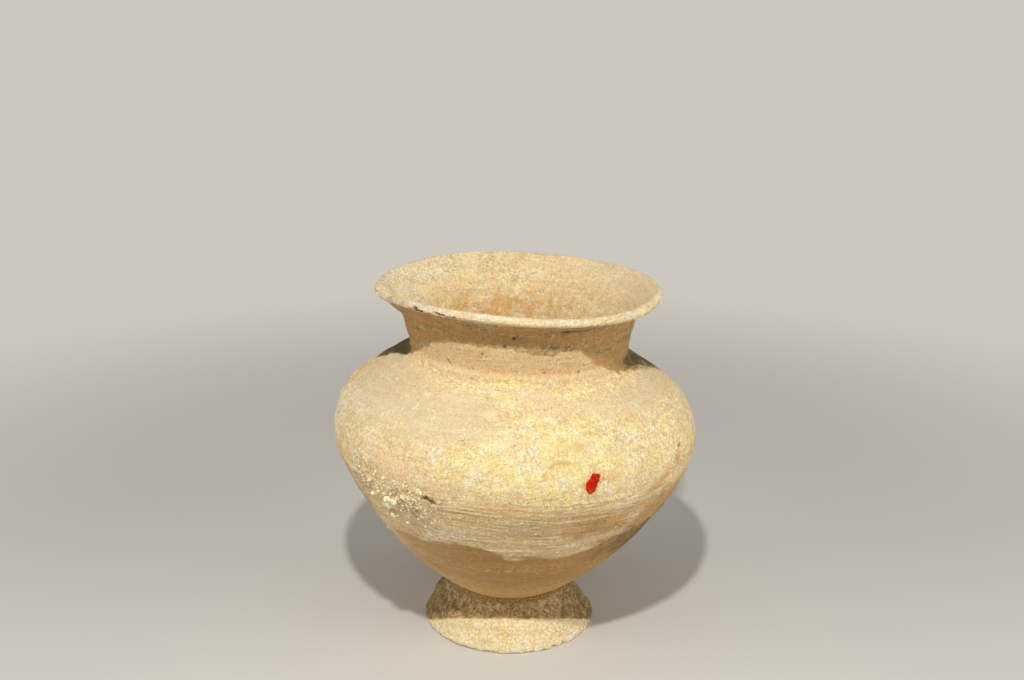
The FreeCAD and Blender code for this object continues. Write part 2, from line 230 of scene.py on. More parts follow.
@dataclass(frozen=True)
class JarForm:
    """The jar's turned form: the same driving sizes as the solids."""

    lean: float = 2.48
    lean_offset: float = -0.68
    lean_height: float = 23.4
    wall: float = 6.0
    slip: float = 1.0
    base_height: float = 22.9
    floor_height: float = 31.5
    floor_round: float = 11.0
    lower_round: float = 177.0
    lower_joint_height: float = 67.0
    lower_blend: float = -24.4
    belly_round: float = 30.6
    belly_centre: tuple[float, float] = (60.3, 106.4)
    belly_joint: float = -11.0
    shoulder_blend: float = 54.6
    shoulder_round: float = 151.4
    crease_radius: float = 53.0
    opening_radius: float = 47.0
    coil_reach: float = 3.4
    coil_round: float = 6.0
    heel: tuple[float, float] = (54.7, 149.8)
    collar_round: float = 96.0
    collar_top: tuple[float, float] = (57.1, 165.0)
    collar_inner: tuple[float, float] = (51.8, 163.6)
    flare_round: float = 15.5
    lip_under: float = 64.5
    lip_round: float = 2.5
    lip_bead: float = 67.4
    rim_height: float = 180.0
    throat_round: float = 47.0

    def on_circle(self, centre: tuple[float, float], radius: float, angle: float) -> tuple[float, float]:
        """The point at an angle on a circle about a centre."""
        turn = math.radians(angle)
        return centre[0] + radius * math.cos(turn), centre[1] + radius * math.sin(turn)

    @property
    def lower_centre(self) -> tuple[float, float]:
        """Centre of the lower wall's curve."""
        return self.on_circle(self.belly_centre, self.belly_round - self.lower_round, self.lower_blend)

    @property
    def shoulder_centre(self) -> tuple[float, float]:
        """Centre of the shoulder's curve."""
        return self.on_circle(self.belly_centre, self.belly_round - self.shoulder_round, self.shoulder_blend)

    def lower_angle(self, radius: float, height: float) -> float:
        """Angle at which the lower wall's circle reaches a height."""
        return math.degrees(math.asin((height - self.lower_centre[1]) / radius))

    def shoulder_angle(self, distance: float) -> float:
        """Angle at which the shoulder's circle reaches a distance from the axis."""
        return math.degrees(math.acos((distance - self.shoulder_centre[0]) / self.shoulder_round))

    def half_slip(self, radius: float) -> float:
        """Angle that half a joint's slip takes up on a circle."""
        return math.degrees(self.slip / 2 / radius)

    @property
    def lower_joint(self) -> float:
        """Angle of the joint above the scraped bowl."""
        return self.lower_angle(self.lower_round, self.lower_joint_height)

    @property
    def coil_angle(self) -> float:
        """Angle on the shoulder where the coil's foot ends."""
        return self.shoulder_angle(self.crease_radius) - math.degrees(self.coil_reach / self.shoulder_round)

    def outer_line(self, step: float = 0.2) -> np.ndarray:
        """The whole outer profile from the base to the lip.

        Args:
            step: Greatest distance between points.

        Returns:
            Its points, one row of radius and height each.
        """
        base = self.lower_angle(self.lower_round, self.base_height)
        shoulder, shoulder_round = self.shoulder_centre, self.shoulder_round
        coil_foot = self.on_circle(shoulder, shoulder_round, self.coil_angle)
        lip_foot = (self.collar_top[0], self.collar_top[1] + self.slip)
        rise = (self.lip_under, self.rim_height - 2 * self.lip_round)
        stretches = [
            Stretch.arc(self.lower_centre, self.lower_round, base, self.lower_blend, step, 1),
            Stretch.arc(self.belly_centre, self.belly_round, self.lower_blend, self.shoulder_blend, step, 1),
            Stretch.arc(shoulder, shoulder_round, self.shoulder_blend, self.coil_angle, step, 1),
            Stretch.bulged(coil_foot, self.heel, self.coil_round, 1, step, 1),
            Stretch.bulged(self.heel, self.collar_top, self.collar_round, -1, step, 1),
            Stretch.line(self.collar_top, lip_foot, step, (1, 1)),
            Stretch.bulged(lip_foot, rise, self.flare_round, 1, step, 1),
            Stretch.line(rise, (self.lip_bead, rise[1]), step, (1, 1)),
            Stretch.arc((self.lip_bead, self.rim_height - self.lip_round), self.lip_round, -90, 90, step, 1),
        ]
        return np.concatenate([stretch.points for stretch in stretches])


FORM = JarForm()
OUTER_LINE = FORM.outer_line()
OUTER_LENGTH = np.concatenate([[0.0], np.cumsum(np.linalg.norm(np.diff(OUTER_LINE, axis=0), axis=1))])


def way_up(height: float) -> float:
    """Length along the outer profile from the base up to a height."""
    return float(np.interp(height, OUTER_LINE[:, 1], OUTER_LENGTH))


def reach_at(height: float) -> float:
    """Radius of the outer profile at a height."""
    return float(np.interp(height, OUTER_LINE[:, 1], OUTER_LINE[:, 0]))


@dataclass
class Sites:
    """The points of one mesh as places on the pot."""

    bearing: np.ndarray
    reach: np.ndarray
    height: np.ndarray
    along: np.ndarray
    outer: np.ndarray
    normal: np.ndarray

    @property
    def spots(self) -> np.ndarray:
        """The places in space, in millimetres, one row each."""
        turn = np.radians(self.bearing)
        return np.stack([self.reach * np.cos(turn), self.reach * np.sin(turn), self.height], axis=1)

    @property
    def ring(self) -> np.ndarray:
        """The places in space with their height left out."""
        return self.spots * (1, 1, 0)


class Tone(Enum):
    """What lies on the clay: each is an attribute of the meshes, from 0 to 1."""

    LIME = "lime"
    CHALK = "chalk"
    GREY = "grey"
    IRON = "iron"
    # Earth colour also carries painted shade: the lip's shadow on the neck, the neck's shadow on the shoulder
    # and the body's shadow on the foot.
    EARTH_AND_SHADE = "earth_and_shade"
    BLUSH = "blush"
    RED = "red"
    HOLLOW = "hollow"
    CREST = "crest"
    CRUST = "crust"
    # Soil colour also carries painted shade on the neck, the shoulder behind it, the foot and the lip.
    SOIL_AND_SHADE = "soil_and_shade"


def turned_from(bearing: np.ndarray, middle: float) -> np.ndarray:
    """How far bearings lie round from a middle one, from -180 to 180."""
    return (bearing - middle + 180) % 360 - 180


@dataclass(frozen=True)
class Mark:
    """A spot on the wall: place, half widths round and up the wall, strength, slant and edge softness."""

    bearing: float
    height: float
    across: float
    along: float
    amount: float
    tilt: float = 0.0
    soft: float = 0.5

    def cover(self, sites: Sites, ragged: Optional[np.ndarray] = None) -> tuple[np.ndarray, np.ndarray]:
        """How strongly the mark covers the places near it.

        Args:
            sites: The places.
            ragged: Chance values that make its edge uneven.

        Returns:
            The indices of the places that it reaches, and its share there, from 0 to 1.
        """
        turned = turned_from(sites.bearing, self.bearing)
        up = sites.along - way_up(self.height)
        span = MARK_REACH * max(self.across, self.along)
        beside = np.degrees(span / np.maximum(sites.reach, LEAST_RADIUS))
        near = np.nonzero((np.abs(up) < span) & (np.abs(turned) < beside))[0]
        side = np.radians(turned[near]) * sites.reach[near]
        cosine, sine = math.cos(math.radians(self.tilt)), math.sin(math.radians(self.tilt))
        x = (side * cosine + up[near] * sine) / self.across
        y = (up[near] * cosine - side * sine) / self.along
        distance = np.hypot(x, y)
        if ragged is not None:
            distance = distance + ragged[near]
        return near, step_between(1 + self.soft, 1 - self.soft, distance)


def around(bearing: np.ndarray, stops: Sequence[tuple[float, float]]) -> np.ndarray:
    """A value that changes smoothly round the jar.

    Args:
        bearing: Where it is wanted, in degrees.
        stops: Bearings and values, in order.

    Returns:
        The values.
    """
    where, what = np.array(stops).T
    turned = (bearing - where[0]) % 360 + where[0]
    return np.interp(turned, np.append(where, where[0] + 360), np.append(what, what[0]))


def scattered(seed: int, count: int, low: float, high: float, size: tuple[float, float],
              depth: tuple[float, float], bearings: tuple[float, float] = (-180.0, 180.0)) -> list[Mark]:
    """Small round marks strewn by chance over a band of the wall.

    Args:
        seed: Which throw of chance to use.
        count: How many marks.
        low: Lowest height.
        high: Greatest height.
        size: Least and greatest half width.
        depth: Least and greatest amount.
        bearings: The bearings between which they lie.

    Returns:
        The marks.
    """
    chance = np.random.default_rng(seed)
    marks = []
    for _ in range(count):
        width = chance.uniform(*size)
        bearing, height = chance.uniform(*bearings), chance.uniform(low, high)
        across, along = width * chance.uniform(0.8, 1.5), width * chance.uniform(0.7, 1.1)
        marks.append(Mark(bearing, height, across, along, chance.uniform(*depth), soft=0.8))
    return marks


# Lower edge of the lip's cast shadow, painted as darker clay on the neck, as bearing and height.
NECK_SHADOW_EDGE = (
    (-180, 146), (-160, 146.5), (-150, 151), (-140, 155.8), (-132, 159.3), (-126, 160.8), (-114, 161.8),
    (-97, 161.4), (-83, 159.6), (-75, 158.6), (-70, 160.6), (-62, 161), (-56, 156.8), (-48, 151),
    (-40, 147.5), (-32, 144.5), (-20, 142.5), (10, 142), (40, 150), (60, 158), (120, 161),
)

# Where the scraped clay of the lower bowl ends, as bearing and height.
SCRAPED_EDGE = (
    (-175, 65), (-150, 62.5), (-145, 63.5), (-135, 68), (-121, 70), (-108, 71.8), (-101, 71.5), (-96, 67.5),
    (-80, 66), (-68, 65), (-61, 69), (-52, 75), (-40, 77), (-20, 73), (20, 68), (70, 70), (120, 66),
    (160, 68),
)


@dataclass(frozen=True)
class Relief:
    """The uneven surface of the pot, outwards positive, in millimetres."""

    ridge_pitch: float = 2.35
    ridge_height: float = 0.25
    scraped_drop: float = 0.32
    crust_height: float = 1.3
    fillet: float = 1.5
    wide_wear: float = 0.7
    edge_wear: float = 1.3
    edge_height: float = 164.2
    edge_span: float = 4.2
    bumps: tuple[Mark, ...] = (
        Mark(-84, 140.6, 4.2, 0.5, 0.3, tilt=-14), Mark(-77, 139.0, 4.0, 0.5, 0.25, tilt=-10),
        Mark(-119, 100.6, 2.6, 0.9, 0.5, tilt=-12), Mark(-112.5, 98.6, 2.2, 0.8, 0.5, tilt=-35),
        Mark(-111, 100.6, 2.4, 0.6, 0.4, tilt=-40), Mark(-116, 96.2, 2.6, 0.7, 0.3),
        Mark(-147.5, 63.4, 2.2, 0.9, 1.0, soft=0.3), Mark(175, 127.5, 5.0, 2.2, 0.75, soft=0.35),
        Mark(-178, 120.3, 5.0, 2.0, 0.65, soft=0.35), Mark(-114.9, 98.3, 0.9, 0.8, 0.9),
        Mark(-98, 175.0, 1.6, 0.7, 0.5), Mark(-173, 177.0, 7.0, 0.6, -1.6, soft=0.4),
        Mark(3, 133.4, 2.4, 1.4, 0.5), Mark(-52, 98.4, 2.6, 0.6, 0.3, tilt=35),
        Mark(-81, 159.9, 1.6, 0.35, 0.25, tilt=-30), Mark(-57.5, 101.0, 3.2, 0.5, 0.3, tilt=20),
    )
    hollows: tuple[Mark, ...] = (
        Mark(-116.0, 97.9, 2.0, 1.3, 1.6, soft=0.5), Mark(-113.9, 96.4, 2.0, 1.25, 1.5, tilt=-20, soft=0.5),
        Mark(-141, 175.3, 10.0, 1.0, 1.5, tilt=3, soft=0.3), Mark(-122, 177.0, 1.0, 0.7, 0.8, soft=0.4),
        Mark(-30, 114.9, 1.7, 1.1, 1.3, soft=0.4), Mark(-33, 110.5, 0.8, 3.0, 0.35, tilt=-14),
        Mark(-38, 105.8, 0.9, 3.4, 0.35, tilt=-42), Mark(-66, 130.0, 0.9, 0.7, 0.55),
        Mark(-54, 119.3, 0.8, 0.8, 0.6), Mark(-93, 119.5, 0.7, 0.6, 0.5), Mark(-79, 122.3, 0.7, 0.6, 0.5),
        Mark(-107, 126.7, 1.6, 0.5, 0.5, tilt=-8), Mark(-112, 125.4, 1.0, 0.6, 0.45),
        Mark(-58, 104.7, 0.9, 0.7, 0.5), Mark(-56, 102.6, 0.7, 0.9, 0.5), Mark(-54.5, 100.0, 1.0, 0.6, 0.5),
        Mark(-52.5, 96.8, 1.2, 0.6, 0.4, tilt=20), Mark(-148, 162.5, 0.7, 1.1, 0.8, tilt=20),
        Mark(166, 139.9, 1.2, 1.1, 1.3, soft=0.3), Mark(173.5, 141.8, 1.3, 1.0, 1.2, soft=0.3),
        Mark(-93, 167.3, 0.9, 0.9, 0.9), Mark(-78, 150.8, 0.6, 0.5, 0.7), Mark(-60, 149.9, 0.7, 0.6, 0.8),
        Mark(-107.5, 158.2, 0.8, 0.7, 0.6), Mark(-105.5, 157.2, 0.6, 0.6, 0.5),
        Mark(-108, 156.6, 0.5, 0.5, 0.5), Mark(-126, 151.4, 0.5, 1.8, 0.7, tilt=40),
        Mark(-97, 162.9, 0.4, 1.6, 0.4), Mark(-131, 174.6, 2.2, 0.9, 1.3, tilt=-30, soft=0.4),
        Mark(-136, 176.4, 1.6, 0.8, 1.0, tilt=-30), Mark(-66, 174.6, 10.0, 1.3, 0.9, tilt=2, soft=0.3),
        Mark(-67.5, 171.3, 8.5, 0.6, 1.5, tilt=-2, soft=0.4),
        Mark(-58, 172.2, 4.0, 0.4, 0.8, tilt=14, soft=0.4), Mark(-108, 175.9, 2.4, 0.7, 0.9),
        Mark(-118, 176.1, 1.4, 0.8, 1.0), Mark(-90, 175.5, 2.6, 0.6, 0.7),
        Mark(-132.8, 177.3, 3.2, 0.8, 1.6, tilt=-38, soft=0.3),
        Mark(-130.5, 176.3, 1.8, 1.0, 1.2, soft=0.3), Mark(-123.0, 177.5, 1.2, 0.7, 1.0, soft=0.3),
        Mark(-120.2, 177.2, 0.9, 0.6, 0.9, soft=0.3), Mark(-115.5, 176.4, 1.2, 0.7, 0.9),
        Mark(-98.5, 176.0, 1.4, 0.5, 0.6), Mark(-84, 175.7, 1.8, 0.5, 0.6), Mark(-76, 176.0, 2.2, 0.5, 0.6),
    )

    def edge(self, sites: Sites) -> np.ndarray:
        """Height of the ragged edge of the scraped clay."""
        wander = noise(sites.ring, 9.0, 11, 3)
        return around(sites.bearing, SCRAPED_EDGE) + 1.1 * wander

    def outside(self, sites: Sites) -> np.ndarray:
        """Relief of the outer wall, foot excepted.

        Args:
            sites: The places.

        Returns:
            How far each stands out, in millimetres.
        """
        spots = sites.spots
        height = sites.height
        ridged = step_between(-0.6, 0.6, height - self.edge(sites))
        belly = ridged * step_between(106, 100, height)
        neck = step_between(149, 154, height) * step_between(176, 172, height)
        wave = self.ridges(sites)
        relief = self.ridge_height * (belly + 0.45 * neck + 0.12) * wave
        relief += 0.10 * belly * noise(spots * (1, 1, 2.2), 1.7, 23, 2)
        relief -= self.scraped_drop * (1 - ridged)
        relief += 0.18 * noise(spots, 38.0, 24, 2) + 0.05 * noise(spots, 3.5, 25, 2)
        relief += 0.03 * noise(spots, 1.1, 26)
        turning_line = np.exp(-((height - 103.2 + 0.8 * noise(sites.ring, 20, 27)) / 0.9) ** 2)
        open_right = (sites.bearing > -65) * (sites.bearing < -10)
        relief -= 0.28 * turning_line * np.clip(noise(sites.ring, 22, 28) + 0.5 + open_right, 0, 1)
        relief += self.crust(sites)
        relief += self.crease_clay(sites) + 0.6 * self.lip_loops(sites)
        # The wide belly and the lip's lower edge are worn back, except on the right.
        thinned = around(sites.bearing, ((-180, 1.0), (-62, 1.0), (-38, 0.0), (5, 0.0), (30, 1.0)))
        wide = step_between(177.6, 175.4, height) * step_between(63.5, 65.5, sites.reach)
        relief -= self.wide_wear * thinned * wide
        for mark in self.bumps:
            near, share = mark.cover(sites)
            relief[near] += mark.amount * share
        for mark in (*self.hollows, *PITS):
            near, share = mark.cover(sites)
            relief[near] -= mark.amount * share
        return relief

    def ridges(self, sites: Sites) -> np.ndarray:
        """The wheel's ridges: wavy, broken lines that meet and part.

        Args:
            sites: The places.

        Returns:
            Their height, from about -1 to 1.
        """
        spots = sites.spots
        wobble = 1.9 * noise(spots * (1, 1, 0.5), 24.0, 21, 2)
        strength = np.clip(0.55 + 0.9 * noise(spots * (1, 1, 2.2), 11.0, 22, 2), 0.0, 1.5)
        steady = np.sin((sites.along + wobble) * 2 * math.pi / self.ridge_pitch)
        broken = noise(spots * (0.16, 0.16, 1.0), 2.1, 29, 2)
        return 0.38 * strength * steady + 0.85 * broken

    def crust(self, sites: Sites) -> np.ndarray:
        """Crumbly lime grown on the left of the belly, in slanting streaks.

        Args:
            sites: The places.

        Returns:
            Its height, in millimetres.
        """
        spots = sites.spots
        down = sites.bearing * 1.5 + (sites.along - 90) * 0.9
        slant = np.stack([down, (sites.along - sites.bearing * 0.9) * 0.4, np.zeros(len(spots))], axis=1)
        total = np.zeros(len(spots))
        for mark in CRUSTED:
            near, share = mark.cover(sites)
            total[near] = np.maximum(total[near], mark.amount * share)
        streaks = 1 - 2.2 * np.abs(noise(slant, 2.6, 31, 2))
        beads = 1 - 3.4 * np.abs(noise(spots, 2.2, 32, 2))
        patches = np.clip(0.55 + 1.1 * noise(spots, 8.0, 34, 2), 0.1, 1.0)
        return self.crust_height * total * np.clip((0.3 * streaks + beads) * patches, -0.08, 1.1)

    def lip_loops(self, sites: Sites) -> np.ndarray:
        """Thin looped worms of lime on the right of the lip.

        Args:
            sites: The places.

        Returns:
            Their height, from 0 to 1.
        """
        right = step_between(-66, -56, sites.bearing) * step_between(14, 0, sites.bearing)
        lip = step_between(175.2, 176.4, sites.height) * right
        return lip * np.clip(1 - 5.5 * np.abs(noise(sites.spots, 4.2, 35)), 0, 1)

    def crease_clay(self, sites: Sites) -> np.ndarray:
        """Clay smeared into the crease under the neck, thickest at the front.

        Args:
            sites: The places.

        Returns:
            Its height, in millimetres.
        """
        front = around(sites.bearing, ((-180, 0.1), (-160, 0.5), (-140, 0.9), (-95, 1.0), (-50, 0.9),
                                       (-25, 0.3), (0, 0.1), (90, 0.2)))
        up = sites.along - way_up(147.6)
        return self.fillet * front * np.exp(-(up / 2.6) ** 2) * (1 + 0.25 * noise(sites.spots, 5.0, 33, 2))

    def inside(self, sites: Sites) -> np.ndarray:
        """Relief of the inner wall: soft finger ridges of throwing.

        Args:
            sites: The places.

        Returns:
            How far each place stands out, in millimetres.
        """
        spots = sites.spots
        wobble = 1.6 * noise(spots * (1, 1, 0.3), 30.0, 41, 2)
        wave = np.sin((sites.height + wobble) * 2 * math.pi / 5.2)
        steady = step_between(33, 45, sites.height)
        fingers = 0.14 * wave * (0.6 + 0.5 * noise(spots, 25, 42)) + 0.06 * noise(spots, 3.0, 43, 2)
        joint = np.exp(-((sites.height - self.edge_height) / 1.6) ** 2)
        return steady * (1 - joint) * fingers

    def worn_edge(self, sites: Sites) -> np.ndarray:
        """How far the inner edge under the flare is worn back from the axis.

        Args:
            sites: The places.

        Returns:
            The wear, in millimetres.
        """
        worn = self.edge_wear * np.exp(-((sites.height - self.edge_height) / self.edge_span) ** 2)
        sloped = 0.45 * step_between(163.4, 164.8, sites.height) * step_between(175, 165, sites.height)
        return (1 - sites.outer) * (worn + sloped)

    def warp(self, sites: Sites) -> tuple[np.ndarray, np.ndarray]:
        """How the mouth was bent out of true: shift of radius and of height.

        Args:
            sites: The places.

        Returns:
            The shift of radius and the shift of height, in millimetres.
        """
        turn = np.radians(sites.bearing)
        share = step_between(163, 178, sites.height)
        pushed = np.zeros(len(turn))
        radius = -0.76 * np.cos(turn) + 0.58 * np.sin(turn) - 0.16 * np.cos(2 * turn)
        radius += 0.08 * np.cos(3 * turn)
        height = -0.4 + 0.76 * np.cos(turn) - 0.35 * np.cos(2 * turn) + 0.54 * np.sin(2 * turn)
        height += 0.63 * np.cos(3 * turn)
        for bearing, width, level, span, push in MOUTH_PUSHES:
            off = turned_from(sites.bearing, bearing)
            pushed += push * np.exp(-(off / width) ** 2 - ((sites.height - level) / span) ** 2)
        nick = np.zeros(len(turn))
        for bearing, width, depth in RIM_NICKS:
            off = turned_from(sites.bearing, bearing)
            nick += depth * np.exp(-(off / width) ** 2)
        edge = step_between(173, 178, sites.height) * step_between(60, 66, sites.reach)
        return share * radius + pushed - edge * nick, share * height - 0.35 * edge * nick


# Places where the neck was pushed in or out: bearing, half width in degrees, height, half width up the wall
# and push in millimetres.
MOUTH_PUSHES = (
    (176.0, 45.0, 150.5, 6.2, -1.3), (-174.0, 26.0, 170.8, 5.0, 5.0), (-4.0, 30.0, 157.0, 7.0, -1.0),
)

# Dents and bites in the edge of the lip, as bearing, half width in degrees and depth in millimetres.
RIM_NICKS = (
    (-166.5, 2.2, 2.8), (-152, 5.0, 0.5), (-177, 4.5, 0.3), (-133, 1.2, 0.5), (84, 0.8, 0.6),
    (-121, 0.6, 0.4), (-63, 5.0, 0.35), (-20, 4.0, 0.3), (30, 3.0, 0.4), (140, 5.0, 0.4),
)

# Small pits left by burnt-out grit, strewn over the shoulder, belly, bowl, neck and crust.
PITS = (
    *scattered(5, 150, 104, 145, (0.45, 0.95), (0.15, 0.5)),
    *scattered(6, 120, 69, 103, (0.5, 1.0), (0.15, 0.45)),
    *scattered(7, 50, 26, 66, (0.5, 0.9), (0.1, 0.3)),
    *scattered(8, 40, 150, 172, (0.4, 0.7), (0.15, 0.5)),
    *scattered(9, 8, 84, 102, (0.5, 1.0), (0.15, 0.3), (-150, -112)),
)

# Where lime crust has grown, with its share of the full height.
CRUSTED = (
    Mark(-137, 96, 24, 10, 0.9), Mark(-126, 91, 20, 9, 0.95), Mark(-117, 99, 12, 6, 0.6),
    Mark(-143, 104, 16, 8, 0.8), Mark(-152, 112, 10, 8, 0.6), Mark(-133, 84, 9, 6, 0.7),
    Mark(-118, 89, 10, 5, 0.35), Mark(120, 92, 20, 10, 0.6), Mark(60, 84, 12, 7, 0.5),
)

# What has settled on the clay, with the share that each spot adds; some earth and soil spots are painted
# shade instead, as marked below.
STAINS: dict[Tone, tuple[Mark, ...]] = {
    Tone.LIME: (
        Mark(-88, 119, 44, 18, 0.95, soft=0.45), Mark(-97, 140.2, 11, 4.5, 1.0),
        Mark(-101, 136, 6, 2.2, 0.9), Mark(-70, 133, 26, 12, 0.7), Mark(-45, 122, 30, 20, 0.55),
        Mark(-30, 108, 20, 12, 0.45), Mark(-75, 107, 34, 7, 0.75), Mark(-105, 108, 22, 8, 0.7),
        Mark(-140, 116, 22, 14, 0.5), Mark(-157, 120, 18, 20, 0.2),
        Mark(-94, 145.6, 16, 3.0, 0.6, soft=0.8), Mark(-148, 145.4, 14, 2.6, 0.55, soft=0.8),
        Mark(-60, 145.0, 16, 3.0, 0.45, soft=0.8), Mark(-133, 98, 20, 10, 0.45), Mark(-118, 99, 9, 5, 0.6),
        Mark(-96, 67.4, 18, 1.2, 0.4), Mark(20, 118, 40, 22, 0.5), Mark(75, 125, 50, 18, 0.6),
        Mark(130, 112, 40, 20, 0.5), Mark(-100, 92, 26, 5, 0.3), Mark(-48, 84, 14, 6, 0.25),
    ),
    Tone.CHALK: (
        Mark(-112, 78.2, 13, 3.8, 0.7, tilt=8, soft=0.9), Mark(-120, 71.5, 9, 3.0, 0.6, tilt=25),
        Mark(-140, 118, 4.5, 3.0, 0.45, soft=0.8), Mark(-52.5, 126, 7, 3.2, 0.5, soft=0.8),
        Mark(-49, 122, 4, 3.2, 0.4, soft=0.8), Mark(-55, 129.5, 3, 2, 0.45),
        Mark(-58, 104.7, 2.2, 1.2, 0.6, tilt=20), Mark(-55.5, 101, 3, 0.9, 0.6, tilt=35),
        Mark(-52, 97, 3, 0.8, 0.55, tilt=20), Mark(-105, 120, 7, 5, 0.2, soft=0.9),
        Mark(-33, 117.5, 8, 6, 0.25), Mark(-152, 62, 12, 4, 0.5), Mark(-75, 104.5, 24, 2.0, 0.2),
        Mark(-170, 112, 14, 22, 0.5), Mark(-152, 122, 14, 14, 0.3, soft=0.9), Mark(-8, 118, 12, 20, 0.35),
        Mark(-98, 104, 16, 1.6, 0.2), Mark(-86, 91, 16, 1.2, 0.35), Mark(-128, 88, 10, 4, 0.35),
        Mark(100, 96, 18, 5, 0.5), Mark(170, 84, 20, 5, 0.5),
    ),
    Tone.GREY: (
        Mark(-121, 132.5, 30, 15, 0.75, soft=0.5), Mark(-150, 132, 26, 14, 0.55),
        Mark(-83, 141.6, 9, 3.4, 0.7, tilt=-12), Mark(-40, 137, 26, 8, 0.45), Mark(-65, 138, 12, 4, 0.35),
        Mark(-98, 86, 20, 3, 0.3), Mark(170, 140, 60, 9, 0.8), Mark(0, 138, 40, 10, 0.6),
        Mark(60, 140, 50, 9, 0.5), Mark(110, 134, 40, 12, 0.5),
    ),
    Tone.IRON: (
        Mark(-70, 125.6, 6, 4.5, 0.42, soft=0.9), Mark(-59.5, 121.5, 4, 2.5, 0.3),
        Mark(-81.6, 115.2, 1.8, 2.6, 0.7, soft=0.7), Mark(-80.2, 118.6, 2.2, 1.6, 0.75, tilt=45, soft=0.7),
        Mark(-76.5, 119.9, 3.8, 1.2, 0.75, soft=0.7), Mark(-128, 117.5, 4.5, 2.2, 0.35),
        Mark(-108, 112.5, 10, 3.5, 0.3), Mark(-101, 150.0, 26, 3.0, 0.4, soft=0.8),
        Mark(-60, 150.5, 16, 2.6, 0.4, soft=0.8), Mark(-56, 88, 7, 2.6, 0.7), Mark(-47, 92, 10, 2.6, 0.55),
        Mark(-61, 112, 6, 3, 0.5), Mark(-112, 97.6, 4.5, 2.6, 0.3), Mark(-92, 98.5, 14, 3.0, 0.45),
        Mark(-40, 104, 5, 6, 0.5, tilt=-40), Mark(-31.5, 111, 2, 4.5, 0.55),
        Mark(-86, 56, 22, 5, 0.35, soft=0.9), Mark(-70, 60.5, 16, 4, 0.25, soft=0.9),
        Mark(-90, 32, 30, 9, 0.6, soft=0.9), Mark(-60, 106, 9, 3, 0.4), Mark(30, 110, 12, 6, 0.5),
        Mark(140, 124, 12, 6, 0.5),
    ),
    Tone.EARTH_AND_SHADE: (
        # The earth spot at bearing -30 and height 84 is painted shade low on the right of the belly.
        Mark(-30, 84, 30, 16, 0.7), Mark(-62, 84, 16, 9, 0.45), Mark(-84, 89, 40, 12, 0.35),
        Mark(-34, 107.5, 3, 9, 0.55, tilt=-25), Mark(-44, 101.2, 9, 2.0, 0.6, tilt=15),
        Mark(-131, 86, 8, 2.2, 0.2, tilt=-35), Mark(-116, 98, 3.4, 2.0, 0.9),
        Mark(-113.6, 96.4, 3.2, 1.7, 0.9), Mark(-162, 80, 18, 20, 0.6),
        # The two earth spots on this line, behind the neck on the left and right, are painted shadow of the
        # neck.
        Mark(166, 141, 19, 6, 1.0, soft=0.3), Mark(22, 139, 19, 6, 0.95, soft=0.3),
        # Earth spots on the neck between heights 158 and 173, on this line and the next two, are painted
        # shade under the lip.
        Mark(-66, 172.3, 11, 3, 0.6), Mark(-138, 170, 22, 8, 0.3), Mark(-141, 175.2, 10, 1.1, 0.8, tilt=3),
        Mark(-100, 166.4, 50, 1.0, 0.5), Mark(-84, 163.4, 40, 0.8, 0.3), Mark(-40, 158, 22, 9, 0.45),
        Mark(0, 158, 30, 9, 0.45), Mark(45, 88, 24, 12, 0.5), Mark(150, 92, 30, 14, 0.5),
        Mark(90, 78, 26, 8, 0.4),
    ),
    Tone.SOIL_AND_SHADE: (
        # The soil spots at bearing -30 and height 67, and at bearing -20 and height 84, are painted shade low
        # on the right of the belly.
        Mark(-30, 67, 30, 14, 0.76, soft=0.9), Mark(-66.5, 171.4, 8, 0.9, 1.0),
        Mark(-64, 173.6, 7, 1.2, 0.4), Mark(-133, 176.8, 3.2, 0.9, 0.75, tilt=-38),
        Mark(-121, 176.8, 2.4, 0.8, 0.6), Mark(-116, 176.2, 1.4, 0.7, 0.6),
        Mark(-126, 176.6, 1.6, 0.6, 0.5), Mark(-109, 176.0, 1.6, 0.6, 0.4),
        Mark(-20, 84, 14, 14, 0.3, soft=0.9), Mark(-116, 97.9, 1.9, 1.2, 0.75),
        # The soil spot at bearing -148 and height 177 and the two on the next line are painted shade on the
        # lower left of the lip and under it.
        Mark(-113.9, 96.4, 1.9, 1.1, 0.7), Mark(-148, 177.0, 22, 3.4, 0.4, soft=0.8),
        Mark(-130, 175.6, 9, 0.8, 0.35), Mark(-90, 174.6, 40, 0.6, 0.3),
    ),
    Tone.BLUSH: (
        Mark(-130, 109, 26, 10, 0.7), Mark(-112, 105, 18, 5, 0.5), Mark(-137, 93, 14, 7, 0.7),
        Mark(-125, 95, 12, 5, 0.7), Mark(-72, 138, 20, 4, 0.4), Mark(-90, 127, 10, 3, 0.4),
        Mark(-130, 124, 12, 4, 0.3), Mark(-118, 90.5, 8, 3, 0.6), Mark(-69, 122.5, 5, 2.2, 0.4),
        Mark(-104, 174, 60, 3, 0.25), Mark(60, 128, 20, 8, 0.4),
    ),
    Tone.RED: (Mark(-67.4, 110.2, 4.0, 5.4, 0.5, tilt=-18, soft=0.35),),
}


def bare(sites: Sites) -> dict[Tone, np.ndarray]:
    """A share of nothing for each tone."""
    return {tone: np.zeros(len(sites.bearing)) for tone in Tone}


def raise_to(tones: dict[Tone, np.ndarray], tone: Tone, share: np.ndarray) -> None:
    """Raise a tone to at least this share."""
    tones[tone] = np.maximum(tones[tone], share)


